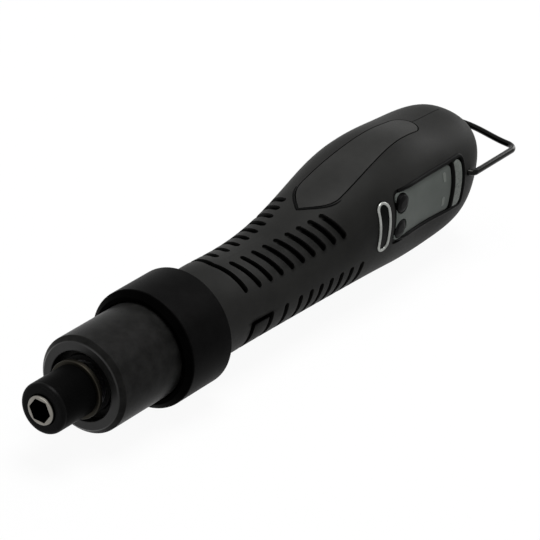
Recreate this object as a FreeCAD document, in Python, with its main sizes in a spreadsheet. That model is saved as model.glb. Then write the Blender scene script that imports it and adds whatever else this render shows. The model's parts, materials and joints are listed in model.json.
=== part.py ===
"""In-line electric screwdriver with a torque clutch, modelled piece by piece.

Frame: millimetres, +X forward out of the bit socket, +Y to the tool's left, +Z up.
The origin is on the tool's axis, at the mouth of the bit socket, so everything lies at X <= 0.
Places along the axis are given as "back": the distance behind the mouth of the socket.
"""
import FreeCAD
import Part

import math
import operator
import os
from types import SimpleNamespace

import Sketcher

SIZES = {
    # bit holder and quick-change chuck
    "bit_flats": 6.35,
    "bit_clearance": 0.05,
    "socket_depth": 16.5,
    "holder_radius": 4.5,
    "spindle_radius": 4.0,
    "sleeve_radius": 7.7,
    "sleeve_setback": 0.9,
    "sleeve_length": 14.4,
    "sleeve_nose_round": 2.8,
    "sleeve_travel": 2.2,
    "sleeve_land_length": 7.1,
    "sleeve_chamber_radius": 6.3,
    "detent_ball_radius": 1.1,
    "detent_back": 6.5,
    "release_groove_width": 2.6,
    "release_groove_depth": 1.3,
    "end_ring_radius": 8.8,
    "end_ring_thickness": 1.5,
    "end_ring_spigot": 0.8,
    "circlip_radius": 5.9,
    "circlip_thickness": 0.8,
    "circlip_groove_depth": 0.5,
    "circlip_arc": 320.0,
    "sleeve_spring_wire": 0.7,
    "sleeve_spring_turns": 3.5,
    # clutch
    "nose_radius": 8.5,
    "nose_bore_radius": 5.2,
    "nose_gap": 1.4,
    "ring_radius": 14.75,
    "ring_front": 18.0,
    "ring_length": 28.0,
    "ring_wall": 1.6,
    "ring_chamfer": 1.6,
    "ring_recess_radius": 10.6,
    "ring_recess_depth": 3.4,
    "ring_flange": 4.6,
    "seat_thickness": 1.5,
    "clutch_wire": 2.2,
    "clutch_turns": 6.0,
    "washer_thickness": 1.4,
    "clutch_pin_radius": 1.15,
    "clutch_pin_length": 3.5,
    "clutch_pin_circle": 11.3,
    "clutch_pin_count": 6,
    "case_flange": 3.0,
    "collar_radius": 18.15,
    "collar_front": 44.6,
    "collar_length": 20.4,
    "collar_rear_wall": 1.6,
    "collar_chamfer": 1.8,
    "collar_rear_bevel": 0.9,
    # spindle bearings
    "spindle_bearing_radius": 7.0,
    "spindle_bearing_width": 4.0,
    # planetary gear
    "gear_module": 0.55,
    "pressure_angle": 25.0,
    "sun_teeth": 12,
    "planet_teeth": 12,
    "planet_count": 3,
    "gear_backlash": 0.1,
    "gear_dedendum": 1.25,
    "ring_addendum": 0.9,
    "planet_width": 4.5,
    "ring_gear_radius": 12.5,
    "carrier_thickness": 2.0,
    "carrier_radius": 8.9,
    "planet_pin_radius": 1.0,
    "cover_thickness": 2.0,
    # motor
    "motor_radius": 11.9,
    "motor_length": 40.0,
    "motor_wall": 0.9,
    "motor_front_wall": 3.0,
    "end_cap_thickness": 3.0,
    "rotor_shaft_radius": 1.5,
    "motor_bearing_radius": 4.0,
    "motor_bearing_width": 3.0,
    "rotor_radius": 5.0,
    "rotor_length": 22.0,
    "air_gap": 0.35,
    "stator_teeth": 6,
    "stator_yoke": 1.6,
    "stator_tooth_width": 2.6,
    "coil_thickness": 1.3,
    "coil_inner_radius": 5.8,
    "coil_height": 3.1,
    # housing: distance back, half width, height above and depth below the axis at each station
    "neck_radius": 14.15,
    "neck_step": 0.25,
    "grip_back": 94.0,
    "grip_width": 14.4,
    "grip_top": 14.3,
    "grip_bottom": 14.2,
    "rise_back": 114.0,
    "rise_width": 15.2,
    "rise_top": 16.2,
    "rise_bottom": 14.5,
    "swell_back": 132.0,
    "swell_width": 16.5,
    "swell_top": 20.8,
    "swell_bottom": 14.6,
    "crown_back": 152.0,
    "crown_width": 17.7,
    "crown_top": 25.6,
    "crown_bottom": 14.9,
    "rear_back": 172.0,
    "rear_width": 17.5,
    "rear_top": 25.9,
    "rear_bottom": 15.5,
    "tail_back": 189.4,
    "tail_width": 17.1,
    "tail_top": 24.4,
    "tail_bottom": 13.7,
    "heel_back": 196.9,
    "heel_width": 14.3,
    "heel_top": 23.2,
    "heel_bottom": 11.4,
    "end_back": 200.6,
    "end_width": 11.0,
    "end_top": 19.1,
    "end_bottom": 5.8,
    "level_share": 1.6,
    "neck_fullness": 0.552,
    "rear_fullness": 0.67,
    "shell_wall": 2.05,
    "shell_flange": 1.2,
    "motor_stop_thickness": 1.8,
    "motor_stop_radius": 9.0,
    # grip grooves
    "groove_width": 2.1,
    "groove_depth": 1.2,
    "groove_pitch": 5.4,
    "groove_pitch_loss": 0.16,
    "groove_count": 9,
    "groove_radius_gain": 0.42,
    "border_groove_back": 78.5,
    "border_groove_to": 50.0,
    "border_groove_lean": 13.5,
    "side_groove_back": 84.5,
    "side_groove_from": 7.0,
    "side_groove_drop": 1.6,
    "side_groove_to": 52.5,
    "side_groove_lean": 20.0,
    "belly_groove_top": -0.6,
    "belly_groove_arch": 1.4,
    "belly_groove_1_back": 80.8,
    "belly_groove_2_back": 89.5,
    "belly_groove_3_back": 96.6,
    "belly_groove_4_back": 103.3,
    "belly_groove_5_back": 108.6,
    "belly_groove_6_back": 113.5,
    "belly_groove_7_back": 118.4,
    "belly_groove_8_back": 123.3,
    "belly_groove_9_back": 128.2,
    "belly_groove_10_back": 133.1,
    # start lever
    "lever_apex": 119.6,
    "lever_shoulder": 131.0,
    "lever_width": 6.8,
    "lever_rear": 173.0,
    "lever_rear_width": 4.6,
    "lever_tail": 5.0,
    "lever_ease": 0.35,
    "lever_gap": 0.4,
    "lever_wall": 2.2,
    "lever_pin_back": 171.0,
    "lever_pin_height": 20.6,
    "lever_pin_radius": 1.25,
    "lever_pin_half": 9.0,
    "lever_lug_half": 3.6,
    "lever_lug_radius": 2.8,
    "spring_shelf_back": 150.0,
    "spring_shelf_top": 12.0,
    "spring_shelf_size": 7.0,
    "spring_pad_height": 21.4,
    "lever_spring_radius": 2.4,
    "lever_spring_wire": 0.6,
    "lever_spring_turns": 6.0,
    # start switch
    "switch_back": 125.0,
    "switch_length": 19.8,
    "switch_half_width": 3.2,
    "switch_bottom": 4.0,
    "switch_height": 10.2,
    "plunger_back": 136.0,
    "plunger_radius": 1.2,
    "plunger_rise": 1.9,
    "plunger_depth": 3.0,
    "plunger_travel": 1.4,
    "striker_thickness": 2.4,
    "switch_rib": 3.0,
    "switch_rib_inset": 2.4,
    "switch_rib_margin": 1.0,
    # control panel on the left side
    "bezel_front": 146.4,
    "bezel_length": 38.2,
    "bezel_level": 9.6,
    "bezel_height": 17.6,
    "bezel_corner": 2.6,
    "bezel_border": 1.2,
    "bezel_back_plane": 13.4,
    "bezel_floor": 1.2,
    "bezel_sunk": 0.5,
    "plate_length": 29.6,
    "plate_sunk": 0.25,
    "plate_corner": 1.8,
    "button_radius": 2.9,
    "button_back": 150.6,
    "button_spread": 8.4,
    "button_face": 17.7,
    "button_flange": 0.8,
    "button_travel": 0.6,
    "lens_width": 5.4,
    "lens_height": 16.0,
    "lens_back": 141.6,
    "lens_level": 9.0,
    "rear_lens_width": 4.3,
    "rear_lens_height": 15.4,
    "lens_proud": 0.1,
    "board_plane": 8.0,
    "board_thickness": 1.6,
    "board_front": 140.0,
    "board_length": 45.0,
    "board_post_radius": 1.4,
    "lamp_size": 2.6,
    # cord inlet at the rear end
    "inlet_height": 6.0,
    "inlet_radius": 6.9,
    "inlet_bore": 5.6,
    "inlet_front": 190.0,
    "inlet_depth": 10.0,
    "inlet_proud": 2.5,
    "inlet_flange_radius": 8.6,
    "inlet_flange": 1.5,
    "inlet_nut_radius": 8.6,
    "inlet_nut": 2.0,
    "inlet_pin_radius": 0.5,
    "inlet_pin_circle": 3.4,
    "inlet_pin_count": 6,
    "inlet_pin_reach": 7.0,
    # hanging bail
    "bail_wire": 1.0,
    "bail_back": 187.2,
    "bail_height": 11.0,
    "bail_half_width": 18.8,
    "bail_inner_half": 13.0,
    "bail_reach": 25.3,
    "bail_bow": 2.0,
    "bail_bend": 3.2,
    "bail_hook_bend": 2.0,
    # housing screws
    "screw_1_back": 114.0,
    "screw_1_height": -9.5,
    "screw_2_back": 116.5,
    "screw_2_height": 9.0,
    "screw_3_back": 150.0,
    "screw_3_height": -9.0,
    "screw_4_back": 186.0,
    "screw_4_height": -5.5,
    "screw_5_back": 193.5,
    "screw_5_height": 17.6,
    "screw_boss": 2.7,
    "screw_radius": 1.1,
    "screw_head_radius": 2.1,
    "screw_head": 1.7,
    "screw_seat": 6.0,
    "screw_reach": 7.0,
    # general fits
    "running_gap": 0.04,
    "slide_gap": 0.1,
    "loose_gap": 0.3,
    "seat_gap": 0.02,
}

XYZ = FreeCAD.Vector
FORWARD = XYZ(1, 0, 0)
LEFT = XYZ(0, 1, 0)
UP = XYZ(0, 0, 1)
TOUCH = 1e-4
OVERLAP = 1e-3
FAR = 40.0
JUST_UNDER_HALF = 0.499
SCREWS = ("screw_1", "screw_2", "screw_3", "screw_4", "screw_5")

OPERATIONS = {
    "+": operator.add,
    "-": operator.sub,
    "*": operator.mul,
    "/": operator.truediv,
}


class Size:
    """A number that keeps the sheet expression it comes from."""

    def __init__(self, value, text):
        self.value = float(value)
        self.text = text

    def __float__(self):
        return self.value

    def __add__(self, other):
        return combined(self, "+", other)

    def __radd__(self, other):
        return combined(other, "+", self)

    def __sub__(self, other):
        return combined(self, "-", other)

    def __mul__(self, other):
        return combined(self, "*", other)

    def __rmul__(self, other):
        return combined(other, "*", self)

    def __truediv__(self, other):
        return combined(self, "/", other)


def as_size(number):
    """Return a Size, also for a plain number."""
    return number if isinstance(number, Size) else Size(number, repr(number))


def combined(first, sign, second):
    """Return the Size that joins two sizes by + - * or /."""
    first = as_size(first)
    second = as_size(second)
    value = OPERATIONS[sign](first.value, second.value)
    return Size(value, "({} {} {})".format(first.text, sign, second.text))


document = FreeCAD.newDocument("screwdriver")
sheet = document.addObject("Spreadsheet::Sheet", "Sizes")
for row, (alias, number) in enumerate(SIZES.items(), 1):
    sheet.set("A{}".format(row), alias)
    sheet.set("B{}".format(row), str(number))
    sheet.setAlias("B{}".format(row), alias)
document.recompute()
dim = SimpleNamespace(**{alias: Size(sheet.get(alias), "Sizes." + alias) for alias in SIZES})

nodes = {}


def keep(label, item):
    """List a finished document object as the sub-part with this label."""
    item.Label = label
    nodes[label] = item
    return item


def origin_feature(body, role):
    """Return one of a body's own origin planes or axes."""
    return next(feature for feature in body.Origin.OriginFeatures if feature.Role == role)


def new_sketch(body, name, role):
    """Return a sketch attached to one of the body's origin planes."""
    sketch = body.newObject("Sketcher::SketchObject", name)
    sketch.AttachmentSupport = (origin_feature(body, role), [""])
    sketch.MapMode = "FlatFace"
    return sketch


def bind_corner(sketch, line, back, height):
    """Tie a line's start point to its distance back from, and height above, the origin."""
    start, origin, across, upright = 1, -1, -1, -2
    if float(back) == 0:
        sketch.addConstraint(Sketcher.Constraint("PointOnObject", line, start, upright))
    else:
        rule = Sketcher.Constraint("DistanceX", line, start, origin, start, float(back))
        sketch.setExpression("Constraints[{}]".format(sketch.addConstraint(rule)), as_size(back).text)
    if float(height) == 0:
        sketch.addConstraint(Sketcher.Constraint("PointOnObject", line, start, across))
    else:
        rule = Sketcher.Constraint("DistanceY", origin, start, line, start, float(height))
        sketch.setExpression("Constraints[{}]".format(sketch.addConstraint(rule)), as_size(height).text)


def draw_outline(sketch, corners):
    """Draw a closed outline through (back, height) corners, each tied to the sheet."""
    points = [XYZ(-float(back), float(height), 0) for back, height in corners]
    lines = [Part.LineSegment(point, points[(i + 1) % len(points)]) for i, point in enumerate(points)]
    sketch.addGeometry(lines)
    for i in range(len(lines)):
        sketch.addConstraint(Sketcher.Constraint("Coincident", i, 2, (i + 1) % len(lines), 1))
    for i, (back, height) in enumerate(corners):
        bind_corner(sketch, i, back, height)


def turned(label, corners, arc=None):
    """Return a body turned about the tool's axis from (back, radius) corners."""
    body = document.addObject("PartDesign::Body", label)
    sketch = new_sketch(body, label + "_profile", "XZ_Plane")
    draw_outline(sketch, corners)
    turn = body.newObject("PartDesign::Revolution", label + "_turn")
    turn.Profile = sketch
    turn.ReferenceAxis = (sketch, ["H_Axis"])
    if arc is None:
        turn.Angle = 360.0
    else:
        turn.setExpression("Angle", arc.text)
    document.recompute()
    return keep(label, body)


def tube_corners(front, length, inner, outer):
    """Return the outline of a plain tube."""
    rear = front + length
    return [(front, inner), (rear, inner), (rear, outer), (front, outer)]


def rim_edges(shape, back, radius):
    """Return the names of the circular edges at this place and radius."""
    names = []
    for index, edge in enumerate(shape.Edges, 1):
        curve = edge.Curve
        if not isinstance(curve, Part.Circle):
            continue
        if abs(curve.Radius - float(radius)) < TOUCH and abs(curve.Center.x + float(back)) < TOUCH:
            names.append("Edge{}".format(index))
    return names


def ease_rim(body, kind, amount, back, radius):
    """Round ("Fillet") or bevel ("Chamfer") the rim at this place and radius."""
    base = body.Tip
    names = rim_edges(base.Shape, back, radius)
    ease = body.newObject("PartDesign::" + kind, body.Name + "_" + kind.lower())
    ease.Base = (base, names)
    ease.setExpression("Radius" if kind == "Fillet" else "Size", amount.text)
    document.recompute()


def hex_socket(body, flats, depth):
    """Cut a hex socket with this width across flats into the front end of a body."""
    socket = body.newObject("PartDesign::SubtractivePrism", body.Name + "_socket")
    socket.AttachmentSupport = (origin_feature(body, "YZ_Plane"), [""])
    socket.MapMode = "FlatFace"
    socket.Polygon = 6
    socket.setExpression("Circumradius", (flats / math.sqrt(3)).text)
    socket.setExpression("Height", depth.text)
    socket.setExpression("AttachmentOffset.Base.z", (depth * -1).text)
    document.recompute()


def bore_along_axis(body, name, radius, back, length, circle):
    """Cut a hole along the tool's axis, at a distance of circle above it."""
    hole = body.newObject("PartDesign::SubtractiveCylinder", name)
    hole.AttachmentSupport = (origin_feature(body, "YZ_Plane"), [""])
    hole.MapMode = "FlatFace"
    hole.setExpression("Radius", radius.text)
    hole.setExpression("Height", length.text)
    hole.setExpression("AttachmentOffset.Base.y", circle.text)
    hole.setExpression("AttachmentOffset.Base.z", ((back + length) * -1).text)
    document.recompute()
    return hole


def ring_of(body, feature, count):
    """Repeat a feature evenly round the tool's axis."""
    pattern = body.newObject("PartDesign::PolarPattern", feature.Name + "_ring")
    pattern.Originals = [feature]
    pattern.Axis = (origin_feature(body, "X_Axis"), [""])
    pattern.Angle = 360.0
    pattern.setExpression("Occurrences", as_size(count).text)
    body.Tip = pattern
    document.recompute()


def solid_feature(label, shape):
    """Return a document object that holds a shape worked out in code."""
    item = document.addObject("Part::Feature", label)
    item.Shape = shape
    return keep(label, item)


def rod(start, direction, radius, length):
    """Return a plain cylinder."""
    return Part.makeCylinder(float(radius), float(length), start, direction)


def at(back, left=0, height=0):
    """Return the point at this distance back, to the left and up."""
    return XYZ(-float(back), float(left), float(height))


def coil(centre_start, direction, mean_radius, wire, turns, length):
    """Return a compression spring of square wire, as a shape along +Z moved into place."""
    wire, turns, length = float(wire), float(turns), float(length)
    free = length - wire
    spine = Part.makeLongHelix(free / turns, free, float(mean_radius), 0)
    half = wire / 2
    corners = [XYZ(float(mean_radius) + side * half, 0, rise * half)
               for side, rise in ((-1, -1), (1, -1), (1, 1), (-1, 1), (-1, -1))]
    spring = Part.Wire(spine).makePipeShell([Part.makePolygon(corners)], True, True)
    spring.translate(XYZ(0, 0, half))
    turn = FreeCAD.Rotation(UP, direction)
    spring.Placement = FreeCAD.Placement(centre_start, turn).multiply(spring.Placement)
    return spring


def group(label, members):
    """Return several equal pieces as one sub-part."""
    compound = document.addObject("Part::Compound", label)
    compound.Links = members
    document.recompute()
    return keep(label, compound)


def pin_ring(label, radius, front, length, circle, count, rise=0.0):
    """Return a ring of equal pins that lie along the tool's axis, or above it by rise."""
    pins = []
    for i in range(int(float(count))):
        angle = 2 * math.pi * i / float(count)
        pin = document.addObject("Part::Cylinder", "{}_{}".format(label, i + 1))
        pin.setExpression("Radius", radius.text)
        pin.setExpression("Height", length.text)
        pin.Placement.Rotation = FreeCAD.Rotation(UP, FORWARD)
        pin.setExpression("Placement.Base.x", ((front + length) * -1).text)
        pin.setExpression("Placement.Base.y", (circle * -math.sin(angle)).text)
        pin.setExpression("Placement.Base.z", (circle * math.cos(angle) + rise).text)
        pins.append(pin)
    return group(label, pins)


# Places along the tool's axis, from the tip to the motor
sleeve_front = dim.sleeve_setback
sleeve_rear = sleeve_front + dim.sleeve_length
chamber_front = sleeve_front + dim.sleeve_land_length
spigot_front = sleeve_rear - dim.end_ring_spigot
end_ring_rear = sleeve_rear + dim.end_ring_thickness
circlip_rear = spigot_front - dim.slide_gap
circlip_front = circlip_rear - dim.circlip_thickness
nose_front = end_ring_rear + dim.sleeve_travel + dim.nose_gap
front_bearing_front = nose_front + dim.slide_gap
front_bearing_rear = front_bearing_front + dim.spindle_bearing_width
holder_rear = front_bearing_front - dim.slide_gap
recess_floor = dim.ring_front + dim.ring_recess_depth
ring_flange_rear = recess_floor + dim.ring_flange
ring_rear = dim.ring_front + dim.ring_length
seat_front = ring_flange_rear + dim.seat_gap
seat_rear = seat_front + dim.seat_thickness
collar_rear = dim.collar_front + dim.collar_length
collar_wall_front = collar_rear - dim.collar_rear_wall
case_rear = collar_wall_front - dim.shell_flange - 2 * dim.slide_gap
cover_front = case_rear - dim.slide_gap
ring_gear_rear = cover_front - dim.slide_gap
planet_rear = ring_gear_rear - dim.slide_gap
planet_front = planet_rear - dim.planet_width
carrier_rear = planet_front - dim.loose_gap
carrier_front = carrier_rear - dim.carrier_thickness
rear_bearing_rear = carrier_front - dim.loose_gap
rear_bearing_front = rear_bearing_rear - dim.spindle_bearing_width
ring_gear_front = carrier_front - dim.loose_gap
clutch_pin_front = ring_gear_front - dim.clutch_pin_length
washer_front = clutch_pin_front - dim.washer_thickness
flange_rear = ring_gear_front - dim.loose_gap
flange_front = flange_rear - dim.case_flange
motor_front = cover_front + dim.cover_thickness + dim.slide_gap
motor_rear = motor_front + dim.motor_length
end_cap_rear = motor_rear + dim.end_cap_thickness

# Radii that several pieces share
land_radius = dim.holder_radius + dim.slide_gap
circlip_groove_radius = dim.holder_radius - dim.circlip_groove_depth
ring_bore = dim.ring_radius - dim.ring_wall
collar_bore = dim.ring_radius + dim.loose_gap
case_radius = collar_bore - dim.seat_gap
case_bore = dim.ring_gear_radius + dim.slide_gap
spindle_seat_radius = dim.spindle_bearing_radius + dim.seat_gap
motor_seat_radius = dim.motor_bearing_radius + dim.seat_gap
ring_teeth = dim.sun_teeth + 2 * dim.planet_teeth
planet_circle = (dim.sun_teeth + dim.planet_teeth) * dim.gear_module / 2

# Places on the control panel
bezel_middle = dim.bezel_front + dim.bezel_length / 2
plate_rear = dim.bezel_front + dim.bezel_border + dim.plate_length
rear_lens_middle = plate_rear + dim.bezel_border + dim.rear_lens_width / 2

# Heights in the start switch
switch_top = dim.switch_bottom + dim.switch_height
plunger_top = switch_top + dim.plunger_rise


def make_bit_holder():
    """Spindle with the hex socket in front and the planet carrier behind."""
    body = turned("bit_holder", [
        (0, 0), (carrier_rear, 0), (carrier_rear, dim.carrier_radius),
        (carrier_front, dim.carrier_radius), (carrier_front, dim.spindle_radius),
        (holder_rear, dim.spindle_radius), (holder_rear, dim.holder_radius),
        (circlip_rear, dim.holder_radius), (circlip_rear, circlip_groove_radius),
        (circlip_front, circlip_groove_radius), (circlip_front, dim.holder_radius),
        (0, dim.holder_radius)])
    hex_socket(body, dim.bit_flats + 2 * dim.bit_clearance, dim.socket_depth)
    ball_hole = body.newObject("PartDesign::SubtractiveCylinder", "detent_hole")
    ball_hole.AttachmentSupport = (origin_feature(body, "XY_Plane"), [""])
    ball_hole.MapMode = "FlatFace"
    ball_hole.setExpression("Radius", (dim.detent_ball_radius + dim.seat_gap).text)
    ball_hole.setExpression("Height", dim.holder_radius.text)
    ball_hole.setExpression("AttachmentOffset.Base.x", (dim.detent_back * -1).text)
    document.recompute()
    pin_hole = bore_along_axis(body, "carrier_pin_hole", dim.planet_pin_radius + dim.seat_gap,
                               carrier_front, dim.carrier_thickness, planet_circle)
    ring_of(body, pin_hole, dim.planet_count)


def make_chuck():
    """Sliding sleeve, its end ring, spring, circlip and the detent ball."""
    groove_centre = dim.detent_back - dim.sleeve_travel
    groove_front = groove_centre - dim.release_groove_width / 2
    groove_rear = groove_centre + dim.release_groove_width / 2
    groove_radius = land_radius + dim.release_groove_depth
    sleeve = turned("chuck_sleeve", [
        (sleeve_front, land_radius), (groove_front, land_radius), (groove_front, groove_radius),
        (groove_rear, groove_radius), (groove_rear, land_radius), (chamber_front, land_radius),
        (chamber_front, dim.sleeve_chamber_radius), (sleeve_rear, dim.sleeve_chamber_radius),
        (sleeve_rear, dim.sleeve_radius), (sleeve_front, dim.sleeve_radius)])
    ease_rim(sleeve, "Fillet", dim.sleeve_nose_round, sleeve_front, dim.sleeve_radius)
    spigot_radius = dim.sleeve_chamber_radius - dim.seat_gap
    end_ring_bore = dim.holder_radius + dim.loose_gap
    turned("sleeve_end_ring", [
        (spigot_front, end_ring_bore), (end_ring_rear, end_ring_bore),
        (end_ring_rear, dim.end_ring_radius), (sleeve_rear, dim.end_ring_radius),
        (sleeve_rear, spigot_radius), (spigot_front, spigot_radius)])
    turned("holder_circlip",
           tube_corners(circlip_front, dim.circlip_thickness, circlip_groove_radius, dim.circlip_radius),
           dim.circlip_arc)
    spring_radius = (dim.holder_radius + dim.sleeve_chamber_radius) / 2
    solid_feature("sleeve_spring", coil(at(circlip_front), FORWARD, spring_radius,
                                        dim.sleeve_spring_wire, dim.sleeve_spring_turns,
                                        circlip_front - chamber_front))
    ball = keep("bit_detent_ball", document.addObject("Part::Sphere", "bit_detent_ball"))
    ball.setExpression("Radius", dim.detent_ball_radius.text)
    ball.setExpression("Placement.Base.x", (dim.detent_back * -1).text)
    ball.setExpression("Placement.Base.z", (dim.holder_radius - dim.detent_ball_radius).text)


def make_clutch():
    """Torque ring, spring stack, clutch pins, gear case and the collar round it."""
    thread_radius = dim.nose_radius + dim.running_gap
    ring = turned("torque_ring", [
        (dim.ring_front, dim.ring_recess_radius), (recess_floor, dim.ring_recess_radius),
        (recess_floor, thread_radius), (ring_flange_rear, thread_radius),
        (ring_flange_rear, ring_bore), (ring_rear, ring_bore),
        (ring_rear, dim.ring_radius), (dim.ring_front, dim.ring_radius)])
    ease_rim(ring, "Chamfer", dim.ring_chamfer, dim.ring_front, dim.ring_radius)
    stack_inner = dim.nose_radius + dim.loose_gap
    stack_outer = ring_bore - dim.loose_gap
    turned("spring_seat", tube_corners(seat_front, dim.seat_thickness, stack_inner, stack_outer))
    solid_feature("clutch_spring", coil(at(washer_front), FORWARD, (dim.nose_radius + ring_bore) / 2,
                                        dim.clutch_wire, dim.clutch_turns, washer_front - seat_rear))
    turned("thrust_washer",
           tube_corners(washer_front, dim.washer_thickness, stack_inner, stack_outer))
    pin_ring("clutch_pins", dim.clutch_pin_radius, clutch_pin_front, dim.clutch_pin_length,
             dim.clutch_pin_circle, dim.clutch_pin_count)
    case = turned("gear_case", [
        (nose_front, spindle_seat_radius), (front_bearing_rear, spindle_seat_radius),
        (front_bearing_rear, dim.nose_bore_radius), (rear_bearing_front, dim.nose_bore_radius),
        (rear_bearing_front, spindle_seat_radius), (flange_rear, spindle_seat_radius),
        (flange_rear, case_bore), (case_rear, case_bore), (case_rear, case_radius),
        (flange_front, case_radius), (flange_front, dim.nose_radius), (nose_front, dim.nose_radius)])
    pin_hole = bore_along_axis(case, "clutch_pin_hole", dim.clutch_pin_radius + dim.slide_gap,
                               flange_front, dim.case_flange, dim.clutch_pin_circle)
    ring_of(case, pin_hole, dim.clutch_pin_count)
    neck_bore = dim.neck_radius + dim.slide_gap
    collar = turned("clutch_case", [
        (dim.collar_front, collar_bore), (collar_wall_front, collar_bore),
        (collar_wall_front, neck_bore), (collar_rear, neck_bore),
        (collar_rear, dim.collar_radius), (dim.collar_front, dim.collar_radius)])
    ease_rim(collar, "Chamfer", dim.collar_chamfer, dim.collar_front, dim.collar_radius)
    ease_rim(collar, "Chamfer", dim.collar_rear_bevel, collar_rear, dim.collar_radius)


def make_bearings():
    """Spindle bearings in the gear case and motor bearings in the can and end cap."""
    spindle_bore = dim.spindle_radius + dim.running_gap
    for label, front in (("spindle_front_bearing", front_bearing_front),
                         ("spindle_rear_bearing", rear_bearing_front)):
        turned(label, tube_corners(front, dim.spindle_bearing_width, spindle_bore,
                                   dim.spindle_bearing_radius))
    shaft_bore = dim.rotor_shaft_radius + dim.running_gap
    for label, front in (("motor_front_bearing", motor_front), ("motor_rear_bearing", motor_rear)):
        turned(label, tube_corners(front, dim.motor_bearing_width, shaft_bore, dim.motor_bearing_radius))


def involute(angle):
    """Return the involute function of an angle."""
    return math.tan(angle) - angle


def tooth_half_angle(radius, teeth, thickening):
    """Return half the angle that an involute tooth fills at this radius."""
    pressure = math.radians(float(dim.pressure_angle))
    pitch_radius = teeth * float(dim.gear_module) / 2
    base_radius = pitch_radius * math.cos(pressure)
    here = math.acos(min(1.0, base_radius / radius))
    at_pitch = math.pi / (2 * teeth) + thickening / (2 * pitch_radius)
    return at_pitch + involute(pressure) - involute(here)


def tooth_outline(teeth, root_radius, tip_radius, thickening, first_tooth):
    """Return the corners of a toothed outline in the plane across the axis, tooth one upwards."""
    pitch_radius = teeth * float(dim.gear_module) / 2
    corners = []
    for tooth in range(teeth):
        middle = 2 * math.pi * (tooth + first_tooth) / teeth
        rising = [root_radius, pitch_radius, tip_radius]
        for side, radii in ((-1, rising), (1, rising[::-1])):
            for radius in radii:
                angle = middle + side * tooth_half_angle(radius, teeth, thickening)
                corners.append(XYZ(0, -radius * math.sin(angle), radius * math.cos(angle)))
    return corners


def toothed_solid(corners, front, rear):
    """Return the solid with this toothed outline between two places along the axis."""
    face = Part.Face(Part.makePolygon(corners + corners[:1]))
    solid = face.extrude(FORWARD * float(rear - front))
    solid.translate(at(rear))
    return solid


def make_gears():
    """Sun pinion, three planets on pins, fixed ring gear and the cover behind it."""
    module = float(dim.gear_module)
    addendum = module
    dedendum = module * float(dim.gear_dedendum)
    ring_addendum = module * float(dim.ring_addendum)
    backlash = float(dim.gear_backlash)
    for label, teeth, first_tooth, front, bore in (
            ("sun_pinion", int(float(dim.sun_teeth)), 0.0, planet_front, dim.rotor_shaft_radius),
            ("planet_gear", int(float(dim.planet_teeth)), 0.5, planet_front, dim.planet_pin_radius)):
        pitch_radius = teeth * module / 2
        outline = tooth_outline(teeth, pitch_radius - dedendum, pitch_radius + addendum,
                                -backlash, first_tooth)
        gear = toothed_solid(outline, front, planet_rear)
        gear = gear.cut(rod(at(planet_rear), FORWARD, bore + dim.running_gap, planet_rear - front))
        if label == "sun_pinion":
            solid_feature(label, gear)
            continue
        gear.translate(UP * float(planet_circle))
        for i in range(int(float(dim.planet_count))):
            planet = gear.copy()
            planet.rotate(XYZ(), FORWARD, 360.0 * i / float(dim.planet_count))
            solid_feature("{}_{}".format(label, i + 1), planet)
    teeth = int(float(ring_teeth))
    pitch_radius = teeth * module / 2
    spaces = tooth_outline(teeth, pitch_radius - ring_addendum, pitch_radius + dedendum, backlash, 0.5)
    blank = rod(at(ring_gear_rear), FORWARD, dim.ring_gear_radius, ring_gear_rear - ring_gear_front)
    solid_feature("ring_gear", blank.cut(toothed_solid(spaces, ring_gear_front, ring_gear_rear)))
    pin_ring("planet_pins", dim.planet_pin_radius, carrier_front, planet_rear - carrier_front,
             planet_circle, dim.planet_count)
    turned("gear_cover", tube_corners(cover_front, dim.cover_thickness,
                                      dim.rotor_shaft_radius + dim.loose_gap, dim.motor_radius))


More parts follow.
